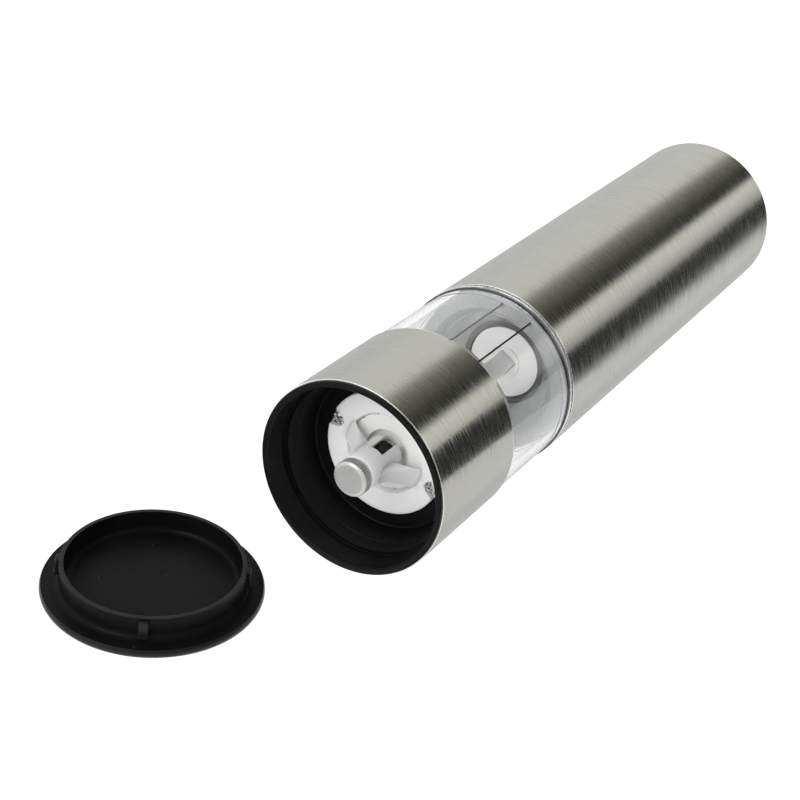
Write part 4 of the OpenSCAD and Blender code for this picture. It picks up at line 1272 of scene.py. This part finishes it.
@dataclass(frozen=True)
class TopEnd:
    """The closed end: black plug with the button's guide, silver button and its spring.

    Args:
        axis: the mill's axis.
        top: depth of the closed end.
        plate: thickness of the plug's plate.
        skirt: inner and outer radius of the skirt in the sleeve.
        guide: depth of the guide's lower end, and of the skirt's.
        floor: thickness of the guide's floor.
        guide_wall: inner and outer radius of the guide.
        bore: radius of the hole for the button's stem.
        opening: radius of the hole for the button.
        proud: how far the button stands out.
        travel: how far it goes in; not used.
        button: radius of the button.
        collar: radius of the collar that holds it.
        collar_span: depths of the collar's two sides below the plate.
        stem: radius of the stem.
        stem_end: depth of its end.
        rim: depth of the button's outer edge below the crown.
        dish: radius, depth below the crown and setback of the corners of the button's face.
        spring_radius: middle radius of the spring.
        wire: diameter of its wire.
        turns: its number of turns.
    """

    axis: Axis
    top: float = 215.15
    plate: float = 1.7
    skirt: tuple[float, float] = (22.4, 24.4)
    guide: float = 205.15
    floor: float = 1.5
    guide_wall: tuple[float, float] = (12.8, 14.4)
    bore: float = 3.25
    opening: float = 11.3
    proud: float = 1.5
    travel: float = 2.0
    button: float = 11.0
    collar: float = 12.5
    collar_span: tuple[float, float] = (1.8, 0.3)
    stem: float = 2.95
    stem_end: float = 203.0
    rim: float = 0.35
    dish: tuple[Triple, ...] = ((9.0, 0.12, 0.6), (8.2, 0.35, 0.6), (4.0, 0.62, 2.0), (0.0, 0.68, 0.0))
    spring_radius: float = 7.875
    wire: float = 0.6
    turns: float = 3.0

    def build(self) -> None:
        """Makes the plug, the button and the spring, and gives the spring a mesh of its own."""
        under, crown, foot = self.top - self.plate, self.top + self.proud, self.guide + self.floor
        head, stop = (under - drop for drop in self.collar_span)
        (skirt_in, skirt_out), (guide_in, guide_out) = self.skirt, self.guide_wall
        plug = [
            (self.bore, self.guide, 0.2), (guide_out, self.guide, 0.3), (guide_out, under, 0.2),
            (skirt_in, under, 0.4), (skirt_in, self.guide, 0.3), (skirt_out, self.guide, 0.3),
            (skirt_out, self.top, 0.3), (self.opening, self.top, 0.25), (self.opening, under, 0.1),
            (guide_in, under, 0.1), (guide_in, foot, 0.2), (self.bore, foot, 0.2)]
        piece = self.axis.lathe("top_plug", plug, Girth.SMOOTH)
        settle(piece, BLACK_PLASTIC, "shell", "black_chassis", "top_cap")
        button = [
            (0.0, self.stem_end, 0.0), (self.stem, self.stem_end, 0.2), (self.stem, head, 0.2),
            (self.collar, head, 0.2), (self.collar, stop, 0.2), (self.button, stop, 0.2),
            (self.button, crown - self.rim, 0.8),
            *[(radius, crown - dip, setback) for radius, dip, setback in self.dish]]
        piece = self.axis.lathe("silver_button", button, closed=False)
        settle(piece, SILVER_BUTTON, "button", "button_metal", "push_button")
        helix = coil(self.axis, self.spring_radius, self.wire, (foot, head), self.turns)
        spring = surface("button_coil", [helix])
        settle(spring, BRIGHT_STEEL, "shell", "bright_steel", "button_spring")
        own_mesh(spring)


@dataclass(frozen=True)
class LooseCap:
    """The loose cap, inner side up: flange with a flash line, ring wall, four lugs and moulding marks.

    Args:
        radius: radius of the flange.
        flange: height of the flange's flash line and of the dish's floor.
        sink: how far the flange lies below that.
        brim: width of the flange's edge band, drawn in a lighter, shinier finish that paints its highlight.
        ring: outer radius of the ring wall.
        wall: thickness of the ring wall.
        height: height of the ring wall.
        crest: height of its crest band, in the same painted-highlight finish.
        edge: corners of the edge band above its foot, as inset from the radius, height and setback.
        flash: corners of the flash line, as inset, height over the flange and setback.
        lugs: directions of the lugs, in degrees.
        lug_blocks: the blocks of a lug, as distance from the ring, height over the flange and half sizes.
        marks: place across, place along and radius of each moulding mark.
        dome: a mark's outline, as share of its radius and height over the ground.
    """

    radius: float = 25.8
    flange: float = 2.1
    sink: float = 0.12
    brim: float = 0.55
    ring: float = 21.3
    wall: float = 1.0
    height: float = 7.6
    crest: float = 0.2
    edge: tuple[Triple, ...] = ((0.35, 0.1, 0.2), (0.0, 0.8, 0.3), (0.0, 1.4, 0.3))
    flash: tuple[Triple, ...] = (
        (0.25, -0.15, 0.1), (0.32, 0.0, 0.04), (0.45, 0.0, 0.04), (0.55, -0.14, 0.02))
    lugs: tuple[float, ...] = (-57.0, 33.0, 123.0, 213.0)
    lug_blocks: tuple[tuple[float, float, Triple], ...] = (
        (0.2, 2.9, (0.8, 1.1, 2.0)), (0.45, 1.0, (0.85, 1.25, 0.3)))
    marks: tuple[Triple, ...] = (
        (11.8, -21.2, 0.5), (14.7, 2.8, 0.45), (1.2, 3.7, 0.35), (-10.3, -6.9, 0.4), (-9.0, 11.0, 0.3))
    dome: tuple[tuple[float, float], ...] = ((0.0, 0.12), (0.6, 0.1), (1.0, -0.05), (0.0, -0.05))

    def middle(self) -> Vector:
        """Centre of the cap on the surface it lies on."""
        low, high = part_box("bottom_cap")
        return Vector(((low.x + high.x) / 2, (low.y + high.y) / 2, low.z))

    def upright(self, outline: np.ndarray, centre: Vector, girth: Girth) -> Patch:
        """Carries an outline round a vertical line: a point (r, h) becomes a circle of radius r at height h.

        Args:
            outline: (radius, height) pairs in millimetres.
            centre: foot of the line, in metres.
            girth: divisions round the line.

        Returns:
            The turned surface.
        """
        angle = once_round(girth.value)[None]
        radius, height = MM * outline[:, :1], MM * outline[:, 1:]
        points = np.broadcast_arrays(centre.x + radius * np.cos(angle), centre.y + radius * np.sin(angle),
                                     centre.z + height)
        return Patch(np.stack(points, -1))

    def body(self, centre: Vector) -> Patch:
        """The flange, the ring wall and the dish, from the underside's middle to the dish's middle.

        Args:
            centre: middle of the cap's underside, in metres.

        Returns:
            The body's surface.
        """
        inner, outer = self.ring - self.wall, self.radius - self.brim
        low, rim = self.flange - self.sink, self.height - self.crest
        outline = rounded([
            (0.0, 0.0, 0.0), (outer, 0.0, 0.4), (outer, low, 0.05), (self.ring, low, 1.5),
            (self.ring, rim, 0.02), (inner, rim, 0.02), (inner - 0.1, self.flange, 1.5),
            (0.0, self.flange, 0.0)], closed=False)
        return self.upright(outline, centre, Girth.SMOOTH)

    def rims(self, centre: Vector) -> list[Patch]:
        """The flange's edge band with its flash line, and the ring wall's crest, which carry the painted
        highlight.

        Args:
            centre: middle of the cap's underside, in metres.

        Returns:
            The two closed rings.
        """
        inner, rim = self.ring - self.wall, self.height - self.crest
        edge = rounded([
            (self.radius - self.brim, 0.1, 0.05),
            *[(self.radius - inset, height, setback) for inset, height, setback in self.edge],
            *[(self.radius - inset, self.flange + rise, setback) for inset, rise, setback in self.flash]])
        crest = rounded([(inner, rim, 0.02), (self.ring, rim, 0.02),
                         (self.ring, self.height, 0.18), (inner, self.height, 0.18)])
        closed = [np.concatenate([line, line[:1]]) for line in (edge, crest)]
        return [self.upright(line, centre, Girth.SMOOTH) for line in closed]

    def lug(self, turn: float, centre: Vector) -> list[Patch]:
        """One lug on the ring wall: an upright block on a wider foot.

        Args:
            turn: direction of the lug, in radians.
            centre: middle of the cap's underside, in metres.

        Returns:
            The lug's blocks.
        """
        blocks = []
        for away, rise, half in self.lug_blocks:
            out = self.ring + away
            place = MM * np.array([out * math.cos(turn), out * math.sin(turn), self.flange + rise])
            blocks.append(block(np.array(centre) + place, MM * np.array(half), turn))
        return blocks

    def mark(self, x: float, y: float, size: float, centre: Vector) -> Patch:
        """One moulding mark: a low dome on the dish or the flange.

        Args:
            x: place across from the cap's middle, in millimetres.
            y: place along.
            size: radius of the mark.
            centre: middle of the cap's underside, in metres.

        Returns:
            The mark's surface.
        """
        ground = self.flange - (self.sink if math.hypot(x, y) > self.ring else 0.0)
        outline = np.array(self.dome) * [size, 1.0] + [0.0, ground]
        return self.upright(outline, centre + MM * Vector((x, y, 0.0)), Girth.COARSE)

    def build(self) -> None:
        """Makes the cap, and its edges, lugs and marks in a lighter, shinier finish that paints their
        highlights.
        """
        centre = self.middle()
        settle(surface("loose_cap", [self.body(centre)]), BLACK_CAP, "cap", "black_cap", "bottom_cap")
        patches = self.rims(centre)
        for turn in np.radians(self.lugs):
            patches += self.lug(turn, centre)
        patches += [self.mark(*mark, centre) for mark in self.marks]
        # Edges, lugs and marks get the lighter, shinier copy of the cap's plastic, which paints their
        # highlights.
        settle(surface("cap_edges", patches), CAP_EDGE_HIGHLIGHT, "cap", "black_cap")


@dataclass(frozen=True)
class KeptNodes:
    """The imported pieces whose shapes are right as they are: each only gets its finish.

    Args:
        finishes: the finish of each node.
    """

    finishes: dict[str, Finish] = field(default_factory=lambda: {
        "burr_ring": CERAMIC, "burr_cone": CERAMIC, "led_lamp": LAMP_LENS, "lamp_board": GREEN_BOARD,
        "lamp_contacts": BRIGHT_STEEL, "gearbox_housing": CASE_WHITE,
        "output_carrier": CASE_WHITE, "first_carrier": CASE_WHITE, "motor_pinion": BRASS,
        "motor_armature": LAMINATED_IRON, "motor_can": PLATED_CAN, "motor_magnets": FERRITE,
        "motor_end_cap": IVORY_PLASTIC, "motor_terminals": BRASS, "motor_screws": BRIGHT_STEEL,
        "gear_cover": CASE_WHITE, "cover_screws": BRIGHT_STEEL, "chassis_tube": BLACK_PLASTIC,
        "battery_case": BLACK_PLASTIC, "contact_plates": BRIGHT_STEEL, "switch_body": BLACK_PLASTIC,
        "switch_plunger": RED_PLASTIC,
        **{f"{stage}_planet_{k}": CASE_WHITE for stage in ("first", "second") for k in (1, 2, 3)}})

    def build(self) -> None:
        """Dresses the kept pieces."""
        for node, finish in self.finishes.items():
            dress(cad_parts[node], finish)
            log.info("%s: packed piece with %s", node, finish.name)


@dataclass(frozen=True)
class Studio:
    """White floor, soft light from all round with dark flags for the steel, and the camera.

    Args:
        target: point that the camera looks at, in millimetres.
        distance: distance to it.
        azimuth: angle of the camera from -Y towards +X, in degrees.
        elevation: height angle, in degrees.
        roll: turn about the line of sight, in degrees.
        lens: focal length, in millimetres.
        sensor: width of the sensor.
        reach: half of the floor's size, in metres.
        floor: grey and glow of the floor.
        flag_place: place across of the upright dark flags.
        flags: name, reach along Y and reach in height of each flag.
        cards: name, left edge at the near end and at the far end, width, near end, height and glow of each
            card on the floor.
        card_end: far end of the cards.
        lamp: place of the front light.
        lamp_aim: point that it faces.
        lamp_size: width of the light.
        lamp_power: its power, in watts.
        strips: angle in degrees, brightness and warmth of the strips that mirrors see.
    """

    target: Triple = (4.358, -37.597, 25.0)
    distance: float = 410.34
    azimuth: float = 27.775
    elevation: float = 29.428
    roll: float = 7.08
    lens: float = 72.471
    sensor: float = 36.0
    reach: float = 6.0
    floor: tuple[float, float] = (0.25, 0.92)
    flag_place: float = 0.12
    flags: tuple[tuple[str, tuple[float, float], tuple[float, float]], ...] = (
        ("flag_near", (-0.2, 0.072), (0.016, 0.074)), ("flag_far", (0.072, 0.8), (0.002, 0.056)))
    cards: tuple[tuple[str, float, float, float, float, float, float], ...] = (
        ("card_0", 0.03, 0.03, 1.2, -0.2, 0.0003, 0.64),
        ("card_1", 0.05, 0.05, 1.2, -0.2, 0.0005, 0.8),
        ("card_2", 0.084, 0.07, 1.2, 0.075, 0.0007, 0.55),
        ("card_3", 0.094, 0.08, 1.2, 0.075, 0.0009, 0.3),
        ("card_4", 0.104, 0.09, 1.2, 0.075, 0.0011, 0.08),
        ("card_left", -1.5, -1.5, 1.49, -0.03, 0.0003, 0.66))
    card_end: float = 2.0
    lamp: Triple = (-0.2, -1.05, 0.62)
    lamp_aim: Triple = (0.015, -0.07, 0.025)
    lamp_size: float = 0.6
    lamp_power: float = 4.6
    strips: tuple[Triple, ...] = (
        (-180.0, 0.62, 0.0), (-30.0, 0.8, 0.0), (-22.0, 0.5, 0.0), (-12.0, 0.02, 0.0), (9.0, 0.02, 0.0),
        (16.0, 0.5, 0.03), (30.0, 0.86, 0.06), (42.0, 0.95, 0.06), (50.0, 0.12, 0.08), (54.0, 0.02, 0.15),
        (66.0, 0.05, 0.2), (86.0, 0.19, 0.2), (96.0, 0.36, 0.17), (103.0, 0.86, 0.04), (145.0, 0.83, 0.0),
        (180.0, 0.66, 0.0))

    def set_camera(self) -> None:
        """Sets the camera at the photograph's place: right, up and back, rolled about the line of sight."""
        azimuth, elevation, roll = (math.radians(v) for v in (self.azimuth, self.elevation, self.roll))
        back = Vector((math.sin(azimuth) * math.cos(elevation), -math.cos(azimuth) * math.cos(elevation),
                       math.sin(elevation)))
        right = Vector((math.cos(azimuth), math.sin(azimuth), 0.0))
        up = back.cross(right)
        across = math.cos(roll) * right + math.sin(roll) * up
        upright = math.cos(roll) * up - math.sin(roll) * right
        data = bpy.data.cameras.new("camera")
        data.lens = self.lens
        data.sensor_width = self.sensor
        data.clip_start = 0.01
        camera = bpy.data.objects.new("camera", data)
        place = MM * (Vector(self.target) + self.distance * back)
        turn = Matrix((across, upright, back)).transposed()
        camera.matrix_world = Matrix.Translation(place) @ turn.to_4x4()
        bpy.context.scene.collection.objects.link(camera)
        bpy.context.scene.camera = camera

    def plane(self, name: str, corners: list[Triple], grey: float, glow: float) -> bpy.types.Object:
        """A flat stage piece.

        Args:
            name: its name.
            corners: four corners, in metres.
            grey: grey of its surface.
            glow: strength of its own light.

        Returns:
            The piece.
        """
        mesh = bpy.data.meshes.new(name)
        mesh.from_pydata(corners, [], [(0, 1, 2, 3)])
        material = bpy.data.materials.new(name)
        material.use_nodes = True
        shader = material.node_tree.nodes["Principled BSDF"]
        shader.inputs["Base Color"].default_value = (grey, grey, grey, 1.0)
        shader.inputs["Roughness"].default_value = 1.0
        shader.inputs["Specular IOR Level"].default_value = 0.0
        shader.inputs["Emission Color"].default_value = (1.0, 1.0, 1.0, 1.0)
        shader.inputs["Emission Strength"].default_value = glow
        mesh.materials.append(material)
        piece = bpy.data.objects.new(name, mesh)
        bpy.context.scene.collection.objects.link(piece)
        return piece

    def card(self, name: str, corners: list[Triple], glow: float) -> None:
        """A dark stage piece with a glow, which only reflections show.

        Args:
            name: its name.
            corners: four corners, in metres.
            glow: strength of its own light.
        """
        piece = self.plane(name, corners, grey=0.01, glow=glow)
        piece.visible_camera = False
        piece.visible_diffuse = False
        piece.visible_shadow = False
        piece.visible_transmission = False

    def set_lamp(self) -> None:
        """Soft light in front of the mouth, a little to the left and above."""
        data = bpy.data.lights.new("front_light", "AREA")
        data.shape = "SQUARE"
        data.size = self.lamp_size
        data.energy = self.lamp_power
        light = bpy.data.objects.new("front_light", data)
        place = Vector(self.lamp)
        aim = Vector(self.lamp_aim) - place
        light.matrix_world = Matrix.Translation(place) @ aim.to_track_quat("-Z", "Y").to_matrix().to_4x4()
        bpy.context.scene.collection.objects.link(light)

    def set_world(self) -> None:
        """Soft light from all round. Mirrors see strips along Y, by a direction's angle in the XZ plane."""
        world = bpy.data.worlds.new("studio")
        world.use_nodes = True
        bpy.context.scene.world = world
        nodes, links = world.node_tree.nodes, world.node_tree.links
        background = nodes["Background"]
        place = nodes.new("ShaderNodeTexCoord")
        split = nodes.new("ShaderNodeSeparateXYZ")
        links.new(place.outputs["Generated"], split.inputs["Vector"])
        angle = nodes.new("ShaderNodeMath")
        angle.operation = "ARCTAN2"
        links.new(split.outputs["Z"], angle.inputs[0])
        links.new(split.outputs["X"], angle.inputs[1])
        share = nodes.new("ShaderNodeMapRange")
        share.inputs["From Min"].default_value = -math.pi
        share.inputs["From Max"].default_value = math.pi
        links.new(angle.outputs["Value"], share.inputs["Value"])
        ramp = nodes.new("ShaderNodeValToRGB")
        self.set_strips(ramp.color_ramp)
        links.new(share.outputs["Result"], ramp.inputs["Fac"])
        path = nodes.new("ShaderNodeLightPath")
        mix = nodes.new("ShaderNodeMix")
        mix.data_type = "RGBA"
        mix.inputs["A"].default_value = (1.0, 1.0, 1.0, 1.0)
        links.new(path.outputs["Is Glossy Ray"], mix.inputs["Factor"])
        links.new(ramp.outputs["Color"], mix.inputs["B"])
        links.new(mix.outputs["Result"], background.inputs["Color"])
        background.inputs["Strength"].default_value = 1.0

    def set_strips(self, ramp: bpy.types.ColorRamp) -> None:
        """Puts the strips on a ramp over the whole turn. Warmth takes blue away, and a tenth as much green.

        Args:
            ramp: the ramp, which has two elements at first.
        """
        for index, (degrees, value, warmth) in enumerate(self.strips):
            spot = (degrees + 180.0) / 360.0
            element = ramp.elements[index] if index < 2 else ramp.elements.new(spot)
            element.position = spot
            element.color = (value, value * (1.0 - 0.1 * warmth), value * (1.0 - warmth), 1.0)

    def build(self) -> None:
        """Makes the floor, the flags and cards, the light, the world and the camera."""
        reach, across, end = self.reach, self.flag_place, self.card_end
        corners = [(-reach, -reach, 0.0), (reach, -reach, 0.0), (reach, reach, 0.0), (-reach, reach, 0.0)]
        self.plane("floor", corners, *self.floor)
        for name, (near, far), (low, high) in self.flags:
            corners = [(across, near, low), (across, far, low), (across, far, high), (across, near, high)]
            self.card(name, corners, glow=0.0)
        for name, near, far, width, start, lift, glow in self.cards:
            corners = [(near, start, lift), (near + width, start, lift), (far + width, end, lift),
                       (far, end, lift)]
            self.card(name, corners, glow)
        self.set_lamp()
        self.set_world()
        self.set_camera()
        view = bpy.context.scene.view_settings
        view.view_transform = "Standard"
        view.look = "None"


def main() -> None:
    """Builds the stage and each sub-assembly in order."""
    logging.basicConfig(level=logging.INFO, format="%(message)s")
    axis = mill_axis()
    Studio().build()
    turned_parts = (Sleeves, Barrel, Chamber, GrinderBase, Adjuster, MotorEnd, Batteries, TopEnd)
    for part in (*[kind(axis) for kind in turned_parts], LooseCap(), KeptNodes()):
        part.build()


if __name__ == "__main__":
    main()
